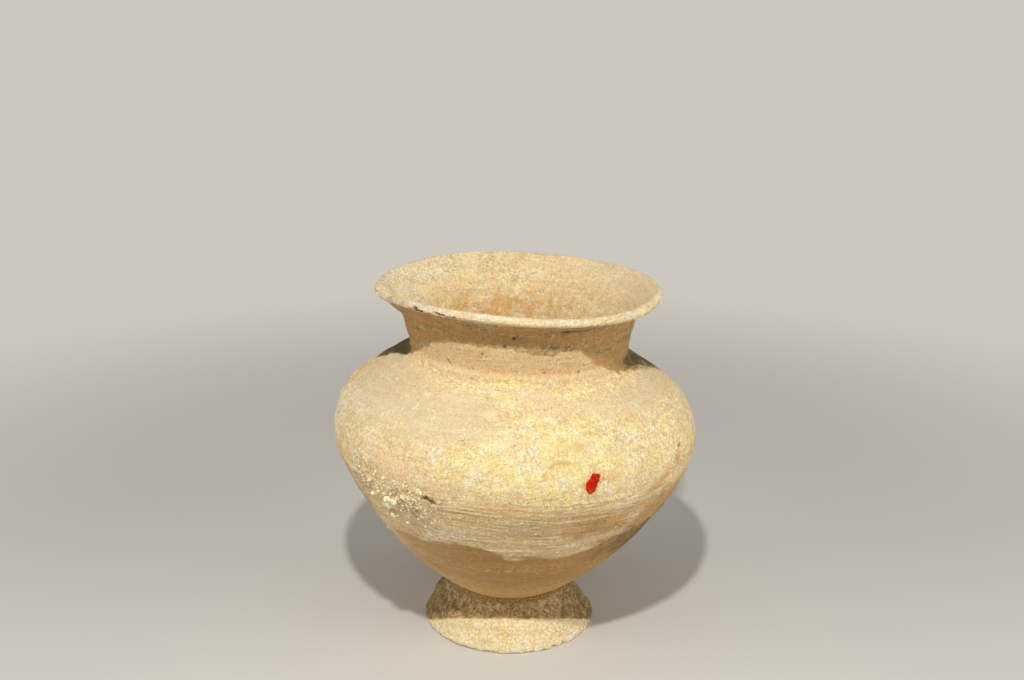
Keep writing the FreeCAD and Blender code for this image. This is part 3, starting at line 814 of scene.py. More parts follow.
def lay_film(tones: dict[Tone, np.ndarray], sites: Sites, relief: Relief) -> None:
    """Lay the lime film on the body, blotchy and flaked, and bare the tan clay of the scraped bowl.

    Args:
        tones: The shares, which it changes.
        sites: The places.
        relief: The pot's surface.
    """
    spots = sites.spots
    height = sites.height
    above = step_between(97.5, 106, height + 2.6 * noise(spots * (1, 1, 0.5), 9, 53, 3))
    frayed = 2.2 * noise(spots * (0.25, 0.25, 1), 2.6, 58, 2)
    scraped = step_between(2.0, -2.0, height - relief.edge(sites) + frayed)
    body = step_between(146, 143, height)
    blotch = noise(spots, 7.0, 72, 3)
    raise_to(tones, Tone.LIME, (0.22 + 0.24 * above) * body)
    tones[Tone.LIME] *= (1 - 0.85 * scraped) * (1 + 0.38 * blotch)
    tones[Tone.GREY] *= 1 - 0.3 * blotch
    flaked = np.clip(noise(spots, 4.2, 75, 3) - 0.3, 0, 1)
    raise_to(tones, Tone.CHALK, 0.9 * flaked * above * body)
    tanned = around(sites.bearing, ((-180, 0.5), (-145, 0.45), (-120, 0.7), (-100, 0.85), (-60, 0.9),
                                    (20, 0.8), (100, 0.7)))
    tanned = tanned * (1 - 0.25 * step_between(50, 32, height))
    raise_to(tones, Tone.EARTH_AND_SHADE, (tanned + 0.12 * noise(spots * (0.3, 0.3, 1), 6, 59, 2)) * scraped)
    tones[Tone.CREST] = 0.5 + 0.5 * relief.ridges(sites) * np.maximum(1 - above, 0.35) * (1 - 0.7 * scraped)


def tint_neck_and_paint_lip_shadow(tones: dict[Tone, np.ndarray], sites: Sites) -> None:
    """Tint the neck tan, and paint the lip's cast shadow on the neck and the shoulder behind it as darker
    clay in bands, down to a ragged edge.

    Args:
        tones: The shares, which it changes.
        sites: The places.
    """
    spots = sites.spots
    height = sites.height
    streaks = np.clip(0.75 + 0.7 * noise(spots * (0.18, 0.18, 1.3), 3.2, 55, 3), 0.2, 1.4)
    collar = step_between(149, 151, height) * step_between(176, 174, height)
    shadow_edge = around(sites.bearing, NECK_SHADOW_EDGE)
    shaded = step_between(-0.8, 0.8, height - shadow_edge + 0.8 * noise(spots, 3, 56, 2))
    side = step_between(-72, -58, sites.bearing) * step_between(20, 0, sites.bearing)
    bands = noise(spots * (0.12, 0.12, 1), 2.4, 66, 2) + 0.8 * noise(spots * (0.4, 0.4, 1), 1.1, 67, 2)
    # Painted shadow of the lip: earth and soil colours above the shadow's edge.
    lip_shadow = step_between(141, 142.5, height) * step_between(176, 174, height) * shaded
    raise_to(tones, Tone.EARTH_AND_SHADE, collar * (0.26 + 0.1 * streaks))
    raise_to(tones, Tone.EARTH_AND_SHADE, lip_shadow * (0.74 + 0.35 * bands))
    raise_to(tones, Tone.SOIL_AND_SHADE, 0.27 * lip_shadow - 0.28 * bands * np.maximum(lip_shadow, 0.6 * collar))
    raise_to(tones, Tone.IRON, collar * 0.18 * side)


def shadow_beside_neck(sites: Sites) -> np.ndarray:
    """Painted shadow of the neck and rim on the shoulder to the left and right behind the neck, in soil
    colour, with frayed edges.

    Args:
        sites: The places.

    Returns:
        Its share, from 0 to 1.
    """
    spots = sites.spots
    across, depth = np.abs(spots[:, 0]), spots[:, 1]
    on_left = spots[:, 0] < 0
    frayed = noise(spots, 3.6, 69, 3)
    # Straight edge of the neck's painted shadow on the shoulder.
    line = depth - 1.38 * across + np.where(on_left, 88.6, 91.0)
    painted_shade = step_between(-1.6, 1.6, line + 0.9 * frayed) * step_between(36, 22, depth + 5 * frayed)
    painted_shade = painted_shade * step_between(133, 137, sites.height) * step_between(38, 42, across)
    painted_shade = painted_shade * step_between(150.5, 147.5, sites.height + 1.2 * frayed)
    return painted_shade * np.where(on_left, 0.88, 0.72) * (1 + 0.3 * noise(spots, 3.5, 68, 2))


def whiten_lip(tones: dict[Tone, np.ndarray], sites: Sites) -> None:
    """Lay chalk and grey lime on the lip, and a yellower film on its right.

    Args:
        tones: The shares, which it changes.
        sites: The places.
    """
    lip = step_between(174.2, 175.6, sites.height)
    right = step_between(-75, -50, sites.bearing) * step_between(25, 5, sites.bearing)
    raise_to(tones, Tone.CHALK, lip * (0.3 + 0.3 * noise(sites.spots, 6, 54, 3)))
    raise_to(tones, Tone.GREY, lip * (0.5 + 0.3 * noise(sites.spots, 9, 57, 3)))
    raise_to(tones, Tone.LIME, lip * right * 0.7)


def tones_outside(sites: Sites) -> dict[Tone, np.ndarray]:
    """What lies on the outer clay at each place, with painted shade under the lip and on the shoulder behind
    the neck.

    Args:
        sites: The places.

    Returns:
        For each tone, its share from 0 to 1.
    """
    relief = Relief()
    tones = bare(sites)
    ragged = 0.28 * noise(sites.spots, 5.0, 51, 3) + 0.14 * noise(sites.spots, 1.6, 52, 2)
    for tone, marks in STAINS.items():
        for mark in marks:
            near, share = mark.cover(sites, ragged if min(mark.across, mark.along) > 1.5 else 0.4 * ragged)
            tones[tone][near] = 1 - (1 - tones[tone][near]) * (1 - mark.amount * share)
    lay_film(tones, sites, relief)
    tint_neck_and_paint_lip_shadow(tones, sites)
    raise_to(tones, Tone.SOIL_AND_SHADE, shadow_beside_neck(sites))
    whiten_lip(tones, sites)
    tones[Tone.CRUST] = relief.crust(sites) / relief.crust_height + 0.9 * relief.lip_loops(sites)
    for mark in (*relief.hollows, *PITS):
        if min(mark.across, mark.along) > WIDEST_PIT:
            continue
        near, share = mark.cover(sites)
        tones[Tone.HOLLOW][near] = np.maximum(tones[Tone.HOLLOW][near], share * min(1.0, mark.amount / 0.7))
    return tones


def tones_inside(sites: Sites) -> dict[Tone, np.ndarray]:
    """What lies on the inner clay at each place: a mottled yellow film, greyer to the top and right, with
    painted light on the left, where it is paler.

    Args:
        sites: The places.

    Returns:
        For each tone, its share from 0 to 1.
    """
    spots = sites.spots
    tones = bare(sites)
    back = np.cos(np.radians(sites.bearing - 95))
    mottle = noise(spots, 8.0, 61, 3)
    top = step_between(160, 176, sites.height)
    # Painted light: the left of the inner wall is made paler with lime and chalk.
    left = np.clip(np.cos(np.radians(sites.bearing - 170)), 0, 1)
    flecks = noise(spots, 1.4, 66, 2)
    tones[Tone.LIME] = np.clip(0.5 + 0.45 * mottle + 0.4 * flecks + 0.1 * top + 0.35 * left, 0, 1)
    right = np.cos(np.radians(sites.bearing - 20))
    tones[Tone.GREY] = np.clip(0.3 * top + 0.3 * right + 0.25 * noise(spots, 14, 62, 2), 0, 0.7)
    tones[Tone.CREST] = np.full(len(spots), 0.5)
    rusty = np.clip(0.46 + 0.5 * noise(spots, 6, 63, 3) - 0.5 * flecks, 0, 1)
    tones[Tone.IRON] = np.clip(back, 0, 1) * step_between(168, 156, sites.height) * rusty
    far_lip = top * np.clip(np.sin(np.radians(sites.bearing)), 0, 1)
    earthy = 0.5 * step_between(140, 110, sites.height) + 0.12 * np.clip(mottle, 0, 1) + 0.32 * far_lip
    tones[Tone.EARTH_AND_SHADE] = earthy - 0.25 * np.clip(flecks, -0.6, 0)
    tones[Tone.CHALK] = 0.6 * np.clip(noise(spots, 9, 64, 3) - 0.2, 0, 1) + 0.45 * left * top
    tones[Tone.BLUSH] = np.clip(0.35 + 0.4 * noise(spots, 12, 65, 2), 0, 1)
    return tones


def lathe(name: str, profile: Sequence[Stretch]) -> tuple[bpy.types.Object, Sites]:
    """Turn a profile into a piece, as clay is turned on the wheel.

    Args:
        name: Name of the piece.
        profile: Its stretches, in order, each starting where the last one ended.

    Returns:
        The piece, still in millimetres and upright, and its places.
    """
    points = np.concatenate([stretch.points for stretch in profile])
    normals = np.concatenate([stretch.normals for stretch in profile])
    outer = np.concatenate([stretch.outer for stretch in profile])
    keep = np.append(True, np.linalg.norm(np.diff(points, axis=0), axis=1) > WELD)
    closed = np.linalg.norm(points[0] - points[-1]) < WELD
    if closed:
        keep[-1] = False
    points, normals, outer = points[keep], normals[keep], outer[keep]
    mesh = bmesh.new()
    ring = [mesh.verts.new((radius, 0, height)) for radius, height in points]
    edges = [mesh.edges.new(pair) for pair in zip(ring, ring[1:])]
    if closed:
        edges.append(mesh.edges.new((ring[-1], ring[0])))
    slice_angle = 2 * math.pi / 2 ** DOUBLINGS
    bmesh.ops.spin(mesh, geom=ring + edges, cent=(0, 0, 0), axis=(0, 0, 1), dvec=(0, 0, 0),
                   angle=slice_angle, steps=SLICE_STEPS, use_merge=False, use_duplicate=False)
    for doubling in range(DOUBLINGS):
        copied = bmesh.ops.duplicate(mesh, geom=mesh.verts[:] + mesh.edges[:] + mesh.faces[:])
        fresh = [part for part in copied["geom"] if isinstance(part, bmesh.types.BMVert)]
        turn = Matrix.Rotation(slice_angle * 2 ** doubling, 3, "Z")
        bmesh.ops.rotate(mesh, cent=(0, 0, 0), matrix=turn, verts=fresh)
    bmesh.ops.remove_doubles(mesh, verts=mesh.verts[:], dist=WELD)
    bmesh.ops.recalc_face_normals(mesh, faces=mesh.faces[:])
    sharp = math.radians(SHARP_ANGLE)
    for face in mesh.faces:
        face.smooth = True
    for edge in mesh.edges:
        edge.smooth = edge.calc_face_angle(0.0) < sharp
    piece = finished(name, mesh)
    where = read_points(piece)
    reach = np.hypot(where[:, 0], where[:, 1])
    nearest = nearest_row(np.stack([reach, where[:, 2]], axis=1), points)
    along = OUTER_LENGTH[nearest_row(points, OUTER_LINE)]
    bearing = np.degrees(np.arctan2(where[:, 1], where[:, 0]))
    sites = Sites(bearing, reach, where[:, 2].copy(), along[nearest], outer[nearest], normals[nearest])
    return piece, sites


def finished(name: str, mesh: bmesh.types.BMesh) -> bpy.types.Object:
    """Turn a bmesh into an object in the scene, and free it.

    Args:
        name: Name of the object and its mesh.
        mesh: The bmesh.

    Returns:
        The object.
    """
    data = bpy.data.meshes.new(name)
    mesh.to_mesh(data)
    mesh.free()
    piece = bpy.data.objects.new(name, data)
    bpy.context.scene.collection.objects.link(piece)
    return piece


def nearest_row(rows: np.ndarray, options: np.ndarray) -> np.ndarray:
    """Find the option nearest to each row.

    Args:
        rows: Radius and height rows.
        options: The rows to choose from.

    Returns:
        For each row, the index of its option.
    """
    found = np.zeros(len(rows), dtype=int)
    for start in range(0, len(rows), ROWS_AT_ONCE):
        part = rows[start:start + ROWS_AT_ONCE]
        gap = (part[:, None, 0] - options[None, :, 0]) ** 2 + (part[:, None, 1] - options[None, :, 1]) ** 2
        found[start:start + ROWS_AT_ONCE] = np.argmin(gap, axis=1)
    return found


def read_points(piece: bpy.types.Object) -> np.ndarray:
    """Read a piece's points.

    Args:
        piece: The piece.

    Returns:
        One row of x, y, z each.
    """
    flat = np.zeros(len(piece.data.vertices) * 3)
    piece.data.vertices.foreach_get("co", flat)
    return flat.reshape(-1, 3)


def write_points(piece: bpy.types.Object, where: np.ndarray) -> None:
    """Put the piece's points at these places."""
    piece.data.vertices.foreach_set("co", np.ascontiguousarray(where, dtype=np.float32).ravel())
    piece.data.update()


def write_tones(piece: bpy.types.Object, tones: dict[Tone, np.ndarray]) -> None:
    """Store each tone as an attribute of the piece's points.

    Args:
        piece: The piece.
        tones: For each tone, its share at each point.
    """
    for tone, share in tones.items():
        layer = piece.data.attributes.new(tone.value, "FLOAT", "POINT")
        layer.data.foreach_set("value", np.clip(share, 0, 1).astype(np.float32))


def leaned(where: np.ndarray) -> np.ndarray:
    """Lean points the way that everything above the foot leans.

    Args:
        where: Upright points in millimetres, one row each.

    Returns:
        The leaned points.
    """
    turn = math.radians(FORM.lean)
    cosine, sine = math.cos(turn), math.sin(turn)
    side, up = where[:, 0], where[:, 2] - FORM.lean_height
    across = FORM.lean_offset + side * cosine + up * sine
    return np.stack([across, where[:, 1], FORM.lean_height - side * sine + up * cosine], axis=1)


def upright(reach: np.ndarray, bearing: np.ndarray, height: np.ndarray) -> np.ndarray:
    """Points at these radii, bearings and heights, one row of x, y, z each."""
    turn = np.radians(bearing)
    return np.stack([reach * np.cos(turn), reach * np.sin(turn), height], axis=1)


def inside_box(where: np.ndarray) -> np.ndarray:
    """Points in metres, held inside the box of the solids."""
    low, high = (np.array(corner) for corner in CAD_BOX)
    return np.clip(where, low, high)


def set_on_wall(sites: Sites, lift: float = 0.0) -> np.ndarray:
    """Where places on the outer wall come to lie once the wall has its relief.

    Args:
        sites: The places.
        lift: Distance above the wall.

    Returns:
        Points in millimetres, with the lean.
    """
    relief = Relief()
    out = relief.outside(sites) + lift
    shift, rise = relief.warp(sites)
    reach = sites.reach + sites.normal[:, 0] * out + shift
    return leaned(upright(reach, sites.bearing, sites.height + sites.normal[:, 1] * out + rise))


def wall_sites(bearing: np.ndarray, along: np.ndarray) -> Sites:
    """Places on the outer wall.

    Args:
        bearing: Their bearings, in degrees.
        along: Their lengths up the outer profile.

    Returns:
        The places.
    """
    reach = np.interp(along, OUTER_LENGTH, OUTER_LINE[:, 0])
    height = np.interp(along, OUTER_LENGTH, OUTER_LINE[:, 1])
    ends = [np.stack([np.interp(along + gap, OUTER_LENGTH, line) for line in OUTER_LINE.T], axis=1)
            for gap in (-SLOPE_GAP, SLOPE_GAP)]
    way = ends[1] - ends[0]
    way /= np.linalg.norm(way, axis=1)[:, None]
    normal = np.stack([way[:, 1], -way[:, 0]], axis=1)
    return Sites(bearing, reach, height, along, np.ones(len(along)), normal)


def thrown(name: str, profile: Sequence[Stretch]) -> bpy.types.Object:
    """A finished section of the leaning jar, with its relief and tones.

    Args:
        name: Name of the piece.
        profile: Its stretches.

    Returns:
        The piece, in metres.
    """
    piece, sites = lathe(name, profile)
    relief = Relief()
    out = sites.outer * relief.outside(sites)
    lining = (1 - sites.outer) * relief.inside(sites)
    shift, rise = relief.warp(sites)
    reach = sites.reach + sites.normal[:, 0] * (out + lining) + shift + relief.worn_edge(sites)
    reach = np.where(sites.reach < WELD, 0.0, reach)
    height = sites.height + sites.normal[:, 1] * (out + lining) + rise
    write_points(piece, inside_box(leaned(upright(reach, sites.bearing, height)) * MM))
    skin, outside, inside = sites.outer, tones_outside(sites), tones_inside(sites)
    write_tones(piece, {tone: skin * outside[tone] + (1 - skin) * inside[tone] for tone in Tone})
    return piece


def place(piece: bpy.types.Object, node: str, slot: str, material: bpy.types.Material) -> None:
    """Hand a finished piece to the frame: body, node and finish.

    Args:
        piece: The piece.
        node: The solid that it stands for.
        slot: The record's material slot; not used.
        material: Its finish.
    """
    piece.data.materials.clear()
    piece.data.materials.append(material)
    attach(piece, "root")
    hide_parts(node)
    LOG.info("%s: %d points, stands for %s", piece.name, len(piece.data.vertices), node)


def add_node(tree: bpy.types.NodeTree, kind: str, inputs: Optional[dict[Union[int, str], Source]] = None,
             **settings: object) -> bpy.types.Node:
    """Add a node with its settings and links.

    Args:
        tree: The tree that gets it.
        kind: Its type.
        inputs: For each socket, a value or the output that feeds it.
        settings: Its own properties.

    Returns:
        The node.
    """
    node = tree.nodes.new(kind)
    for name, setting in settings.items():
        setattr(node, name, setting)
    for socket, source in (inputs or {}).items():
        if isinstance(source, bpy.types.NodeSocket):
            tree.links.new(source, node.inputs[socket])
        else:
            node.inputs[socket].default_value = source
    return node


def per_metre(size: float) -> float:
    """Pattern scale for features of a size in millimetres."""
    return 1.0 / (size * MM)


class Painter:
    """Lays colours over each other in one material's tree."""

    def __init__(self, name: str) -> None:
        """Start an empty material.

        Args:
            name: Name of the material.
        """
        self.material = bpy.data.materials.new(name)
        self.material.use_nodes = True
        self.tree = self.material.node_tree
        self.tree.nodes.clear()
        self.place = add_node(self.tree, "ShaderNodeTexCoord").outputs["Object"]

    def share(self, name: str) -> bpy.types.NodeSocket:
        """The share of a tone that the mesh carries."""
        return add_node(self.tree, "ShaderNodeAttribute", attribute_name=name).outputs["Fac"]

    def grain(self, size: float, detail: float = 2.0, stretch: Triple = (1, 1, 1), rough: float = 0.5,
              offset: Triple = (0, 0, 0)) -> bpy.types.NodeSocket:
        """A chance pattern with blobs of a size in millimetres, from 0 to 1.

        Args:
            size: Width of its blobs.
            detail: How many finer patterns are in it.
            stretch: How much finer it is along each axis.
            rough: How strong the finer patterns are.
            offset: Where it is taken from, in metres.

        Returns:
            The pattern.
        """
        mapped = add_node(self.tree, "ShaderNodeMapping",
                          {"Vector": self.place, "Scale": stretch, "Location": offset}).outputs[0]
        settings = {"Vector": mapped, "Scale": per_metre(size), "Detail": detail, "Roughness": rough}
        return add_node(self.tree, "ShaderNodeTexNoise", settings).outputs[0]

    def level(self, source: Source, low: float, high: float, bottom: float = 0.0,
              top: float = 1.0) -> bpy.types.NodeSocket:
        """Stretch a value smoothly from the range low to high onto bottom to top."""
        return add_node(self.tree, "ShaderNodeMapRange", {0: source, 1: low, 2: high, 3: bottom, 4: top},
                        interpolation_type="SMOOTHSTEP").outputs[0]

    def work(self, operation: str, first: Source, second: Source = 0.0,
             third: Source = 0.0) -> bpy.types.NodeSocket:
        """Work out a number from two or three others."""
        return add_node(self.tree, "ShaderNodeMath", {0: first, 1: second, 2: third},
                        operation=operation).outputs[0]

    def times(self, first: Source, second: Source) -> bpy.types.NodeSocket:
        """The product of two numbers."""
        return self.work("MULTIPLY", first, second)

    def added(self, first: Source, share: Source, second: Source) -> bpy.types.NodeSocket:
        """A share of the first number added to the second."""
        return self.work("MULTIPLY_ADD", first, share, second)

    def over(self, share: Source, under: Source, top: Source, blend: str = "MIX") -> bpy.types.NodeSocket:
        """Lay one colour over another."""
        return add_node(self.tree, "ShaderNodeMix", {0: share, 6: under, 7: top}, data_type="RGBA",
                        blend_type=blend).outputs[2]

    def shaded(self, under: Source, pattern: Source, tints: tuple[Triple, Triple],
               share: Source = 1.0) -> bpy.types.NodeSocket:
        """Multiply a colour by a tint that runs from one to another as a pattern goes from 0 to 1."""
        dark, light = tints
        return self.over(share, under, self.over(pattern, (*dark, 1), (*light, 1)), "MULTIPLY")

    def coat(self, under: Source, tone: Tone, tint: str, sand: Source, low: float, high: float, most: float,
             grit: float = 1.0) -> bpy.types.NodeSocket:
        """Lay a tone's colour where its share, broken up by sand, passes from low to high.

        Args:
            under: Colour below it.
            tone: The tone.
            tint: Its colour, as six hex digits.
            sand: Pattern round 0 that breaks it up.
            low: Share at which the colour begins.
            high: Share at which it is full.
            most: How much it covers when full.
            grit: How strongly the sand breaks it up.

        Returns:
            The new colour.
        """
        amount = self.share(tone.value)
        sure = self.level(amount, 1.0, 0.55, 0.3, 1.0)
        unsure = self.times(self.level(amount, 0.0, 0.4, 0.0, grit), sure)
        share = self.added(sand, unsure, amount)
        return self.over(self.level(share, low, high, 0.0, most), under, linear(tint))

    def finish(self, colour: Source, roughness: Source, height: bpy.types.NodeSocket, depth: float,
               **fixed: float) -> bpy.types.Material:
        """Close the tree with a shader.

        Args:
            colour: Base colour.
            roughness: Roughness.
            height: Height for the bump, in units of depth.
            depth: Depth of the bump in millimetres.
            fixed: Other sockets of the shader and their values.

        Returns:
            The material.
        """
        settings = {"Height": height, "Distance": depth * MM, "Strength": 1.0}
        bump = add_node(self.tree, "ShaderNodeBump", settings)
        sockets = {"Base Color": colour, "Roughness": roughness, "Normal": bump.outputs[0]}
        sockets.update({name.replace("_", " "): value for name, value in fixed.items()})
        shader = add_node(self.tree, "ShaderNodeBsdfPrincipled", sockets)
        add_node(self.tree, "ShaderNodeOutputMaterial", {"Surface": shader.outputs[0]})
        return self.material


@dataclass(frozen=True)
class BuffEarthenware:
    """Low-fired buff clay, wheel-thrown and left unglazed, long buried.

    It gives the eye a dry sandy wall: pale limy film over tan clay, pin pits, grit, rust and grey stains.
    """

    name: str = "buff_earthenware_unglazed"
    clay: str = "f2dab0"
    clay_deep: str = "e8cb9d"
    lime: str = "f5dd98"
    lime_pale: str = "f7eabc"
    chalk: str = "f3ead0"
    grey: str = "e8d3aa"
    # The earth colour paints real stains and also painted shade.
    iron: str = "e6b572"
    earth_and_shade: str = "be955f"
    blush: str = "f4d6aa"
    red: str = "e08a58"
    crest: str = "f8e8c0"
    groove: str = "b8945f"
    crumb: str = "fdf0c6"
    gap: str = "dcb892"
    speck: str = "8c7448"
    dark: str = "463219"
    # The soil colour paints real dirt and also painted shade.
    soil_and_shade: str = "68613a"
    grit: float = 0.55
    pin: float = 1.9
    mottle: float = 7.0
    fine_tints: tuple[Triple, Triple] = ((0.82, 0.79, 0.74), (1.13, 1.13, 1.14))
    line_tints: tuple[Triple, Triple] = ((0.94, 0.93, 0.91), (1.05, 1.05, 1.05))
    sand_tints: tuple[Triple, Triple] = ((0.92, 0.90, 0.86), (1.07, 1.07, 1.06))
    flake_tints: tuple[Triple, Triple] = ((0.95, 0.94, 0.92), (1.04, 1.04, 1.04))
    relief: float = 0.16

    def build(self) -> bpy.types.Material:
        """Make the material.

        Returns:
            The material.
        """
        brush = Painter(self.name)
        fine = brush.level(brush.grain(self.grit, 3.0, rough=0.6), 0.3, 0.7)
        sandy = brush.level(brush.grain(1.25, 3.0, rough=0.6), 0.36, 0.64)
        medium = brush.level(brush.grain(3.2, 3.0, rough=0.6), 0.34, 0.66)
        wide = brush.level(brush.grain(self.mottle, 4.0, rough=0.6), 0.34, 0.66)
        lines = brush.level(brush.grain(2.6, 3.0, stretch=(0.16, 0.16, 1.6), rough=0.6), 0.3, 0.7)
        broken = brush.added(sandy, 0.55, brush.added(medium, 0.4, -0.475))
        cloudy = brush.added(medium, 0.5, brush.times(wide, 0.5))
        colour = brush.over(cloudy, linear(self.clay_deep), linear(self.clay))
        crest = brush.share(Tone.CREST.value)
        colour = brush.over(brush.level(crest, 0.45, 0.05, 0.0, 0.42), colour, linear(self.groove))
        colour = brush.over(brush.level(crest, 0.58, 0.95, 0.0, 0.55), colour, linear(self.crest))
        colour = brush.coat(colour, Tone.EARTH_AND_SHADE, self.earth_and_shade, broken, 0.0, 0.95, 0.97, 0.4)
        lime = brush.share(Tone.LIME.value)
        film = brush.added(broken, brush.level(lime, 0.0, 0.35, 0.25, 1.0), lime)
        tint = brush.over(wide, linear(self.lime), linear(self.lime_pale))
        colour = brush.over(brush.level(film, 0.3, 0.85), colour, tint)
        colour = brush.coat(colour, Tone.GREY, self.grey, broken, 0.05, 0.7, 0.9)
        colour = brush.coat(colour, Tone.BLUSH, self.blush, broken, 0.1, 0.8, 0.85)
        colour = brush.coat(colour, Tone.IRON, self.iron, broken, 0.1, 0.9, 0.85, 0.6)
        colour = brush.coat(colour, Tone.CHALK, self.chalk, broken, 0.15, 0.85, 0.9)
        colour = brush.coat(colour, Tone.SOIL_AND_SHADE, self.soil_and_shade, broken, 0.05, 0.95, 0.97, 0.5)
        crust = brush.share(Tone.CRUST.value)
        crumbs = brush.level(brush.grain(1.3, 4.0, rough=0.7, offset=(2, 9, 4)), 0.35, 0.65)
        grown = brush.added(crumbs, 0.5, brush.work("SUBTRACT", crust, 0.25))
        crusty = brush.level(crust, 0.0, 0.12)
        gaps = brush.times(crusty, brush.level(grown, 0.15, -0.15, 0.0, 0.6))
        tops = brush.times(crusty, brush.level(grown, 0.16, 0.42, 0.0, 0.9))
        colour = brush.over(gaps, colour, linear(self.gap))
        colour = brush.over(tops, colour, linear(self.crumb))
        colour = brush.over(brush.share(Tone.RED.value), colour, linear(self.red))
        calm = brush.level(brush.share(Tone.GREY.value), 0.2, 0.7, 1.0, 0.35)
        flaky = brush.level(brush.grain(2.1, 2.0, rough=0.6, offset=(4, 6, 1)), 0.4, 0.6)
        colour = brush.shaded(colour, fine, self.fine_tints)
        colour = brush.shaded(colour, lines, self.line_tints)
        colour = brush.shaded(colour, sandy, self.sand_tints, calm)
        colour = brush.shaded(colour, flaky, self.flake_tints, calm)
        pepper = brush.level(brush.grain(1.0, 2.0, rough=0.6, offset=(7, 3, 5)), 0.60, 0.72, 0.0, 0.36)
        colour = brush.over(brush.times(pepper, calm), colour, linear(self.speck))
        spacing = {"Vector": brush.place, "Scale": per_metre(self.pin)}
        cells = add_node(brush.tree, "ShaderNodeTexVoronoi", spacing).outputs["Distance"]
        pitted = brush.level(brush.grain(9.0, 2.0, offset=(3, 1, 2)), 0.45, 0.65)
        holes = brush.times(brush.times(brush.level(cells, 0.28, 0.12), pitted), calm)
        colour = brush.over(brush.times(holes, 0.4), colour, linear(self.dark))
        hollow = brush.level(brush.share(Tone.HOLLOW.value), 0.3, 1.0, 0.0, 0.7)
        colour = brush.over(hollow, colour, linear(self.dark))
        height = brush.added(lines, 0.5, brush.added(sandy, 0.9, fine))
        height = brush.work("SUBTRACT", height, brush.times(holes, 1.1))
        height = brush.added(brush.times(crumbs, crusty), 1.6, height)
        rough = brush.level(medium, 0.0, 1.0, 0.84, 0.96)
        return brush.finish(colour, rough, height, self.relief, IOR=1.5, Specular_IOR_Level=0.25)


@dataclass(frozen=True)
class LutingSlip:
    """Slip squeezed from a joint and fired with the clay: a smoother, darker line, partly its own colour and
    partly painted shade under the bowl.
    """

    name: str = "fired_luting_slip"
    # Both colours are dark: partly the slip's own colour, partly painted shade under the bowl.
    pale: str = "b48f58"
    deep: str = "806a3e"
    grit: float = 0.4
    tints: tuple[Triple, Triple] = ((0.85, 0.83, 0.8), (1.08, 1.08, 1.08))
    relief: float = 0.15

    def build(self) -> bpy.types.Material:
        """Make the material.

        Returns:
            The material.
        """
        brush = Painter(self.name)
        fine = brush.grain(self.grit, 3.0)
        mottle = brush.level(brush.grain(1.1, 3.0, rough=0.6), 0.4, 0.6)
        colour = brush.over(mottle, linear(self.deep), linear(self.pale))
        colour = brush.shaded(colour, fine, self.tints)
        rough = brush.level(fine, 0.3, 0.7, 0.85, 0.95)
        return brush.finish(colour, rough, fine, self.relief, IOR=1.5, Specular_IOR_Level=0.3)


@dataclass(frozen=True)
class LimeCrustFinish:
    """Burial lime grown into crumbs: chalky, cream on top and earthy in the gaps."""

    name: str = "burial_lime_crust"
    pale: str = "fdf3ca"
    earthy: str = "dcc09a"
    crumb: float = 0.8
    relief: float = 0.5

    def build(self) -> bpy.types.Material:
        """Make the material.

        Returns:
            The material.
        """
        brush = Painter(self.name)
        crumbs = brush.grain(self.crumb, 4.0, rough=0.65)
        colour = brush.over(brush.level(crumbs, 0.32, 0.5), linear(self.earthy), linear(self.pale))
        return brush.finish(colour, 0.95, crumbs, self.relief, IOR=1.5, Specular_IOR_Level=0.25)


@dataclass(frozen=True)
class RedGlossPaint:
    """A thick dab of glossy red paint: bright where it is thick, brown where clay shows through."""

    name: str = "red_gloss_paint"
    bright: str = "d21a00"
    deep: str = "a31500"
    brown: str = "7c3a12"
    worn: str = "b4491a"
    worn_top: float = 107.6
    worn_bottom: float = 104.4
    relief: float = 0.15

    def build(self) -> bpy.types.Material:
        """Make the material.

        Returns:
            The material.
        """
        brush = Painter(self.name)
        swirl = brush.grain(1.3, 3.0)
        colour = brush.over(brush.level(swirl, 0.38, 0.58), linear(self.deep), linear(self.bright))
        thin = brush.level(brush.grain(0.8, 2.0, offset=(5, 2, 1)), 0.62, 0.72, 0.0, 0.8)
        colour = brush.over(thin, colour, linear(self.brown))
        height = add_node(brush.tree, "ShaderNodeSeparateXYZ", {0: brush.place}).outputs["Z"]
        lower = brush.level(height, self.worn_top * MM, self.worn_bottom * MM)
        rubbed = brush.times(lower, brush.level(swirl, 0.3, 0.55, 0.3, 0.9))
        colour = brush.over(rubbed, colour, linear(self.worn))
        rough = brush.level(swirl, 0.3, 0.7, 0.35, 0.5)
        return brush.finish(colour, rough, swirl, self.relief, IOR=1.45, Specular_IOR_Level=0.12,
                            Coat_Weight=0.06, Coat_Roughness=0.2)


@dataclass(frozen=True)
class StudioPaper:
    """Matt pale paper under the jar, which stays as pale far behind it as it is beside it."""

    name: str = "matt_studio_paper"
    colour: str = "d6d1c9"
    far: str = "cdc8bf"
    near_edge: float = 0.22
    far_edge: float = 0.75

    def build(self) -> bpy.types.Material:
        """Make the material.

        Returns:
            The material.
        """
        brush = Painter(self.name)
        middle = add_node(brush.tree, "ShaderNodeVectorMath", {0: brush.place}, operation="LENGTH")
        away = brush.level(middle.outputs["Value"], self.near_edge, self.far_edge)
        path = add_node(brush.tree, "ShaderNodeLightPath").outputs
        bent = brush.work("MAXIMUM", path["Is Glossy Ray"], path["Is Transmission Ray"])
        share = brush.times(brush.work("MAXIMUM", path["Is Camera Ray"], bent), away)
        matt = {"Base Color": linear(self.colour), "Roughness": 0.9, "Specular IOR Level": 0.2}
        lit = add_node(brush.tree, "ShaderNodeBsdfPrincipled", matt)
        plain = add_node(brush.tree, "ShaderNodeEmission", {"Color": linear(self.far), "Strength": 1.0})
        both = {0: share, 1: lit.outputs[0], 2: plain.outputs[0]}
        mixed = add_node(brush.tree, "ShaderNodeMixShader", both)
        add_node(brush.tree, "ShaderNodeOutputMaterial", {"Surface": mixed.outputs[0]})
        return brush.material


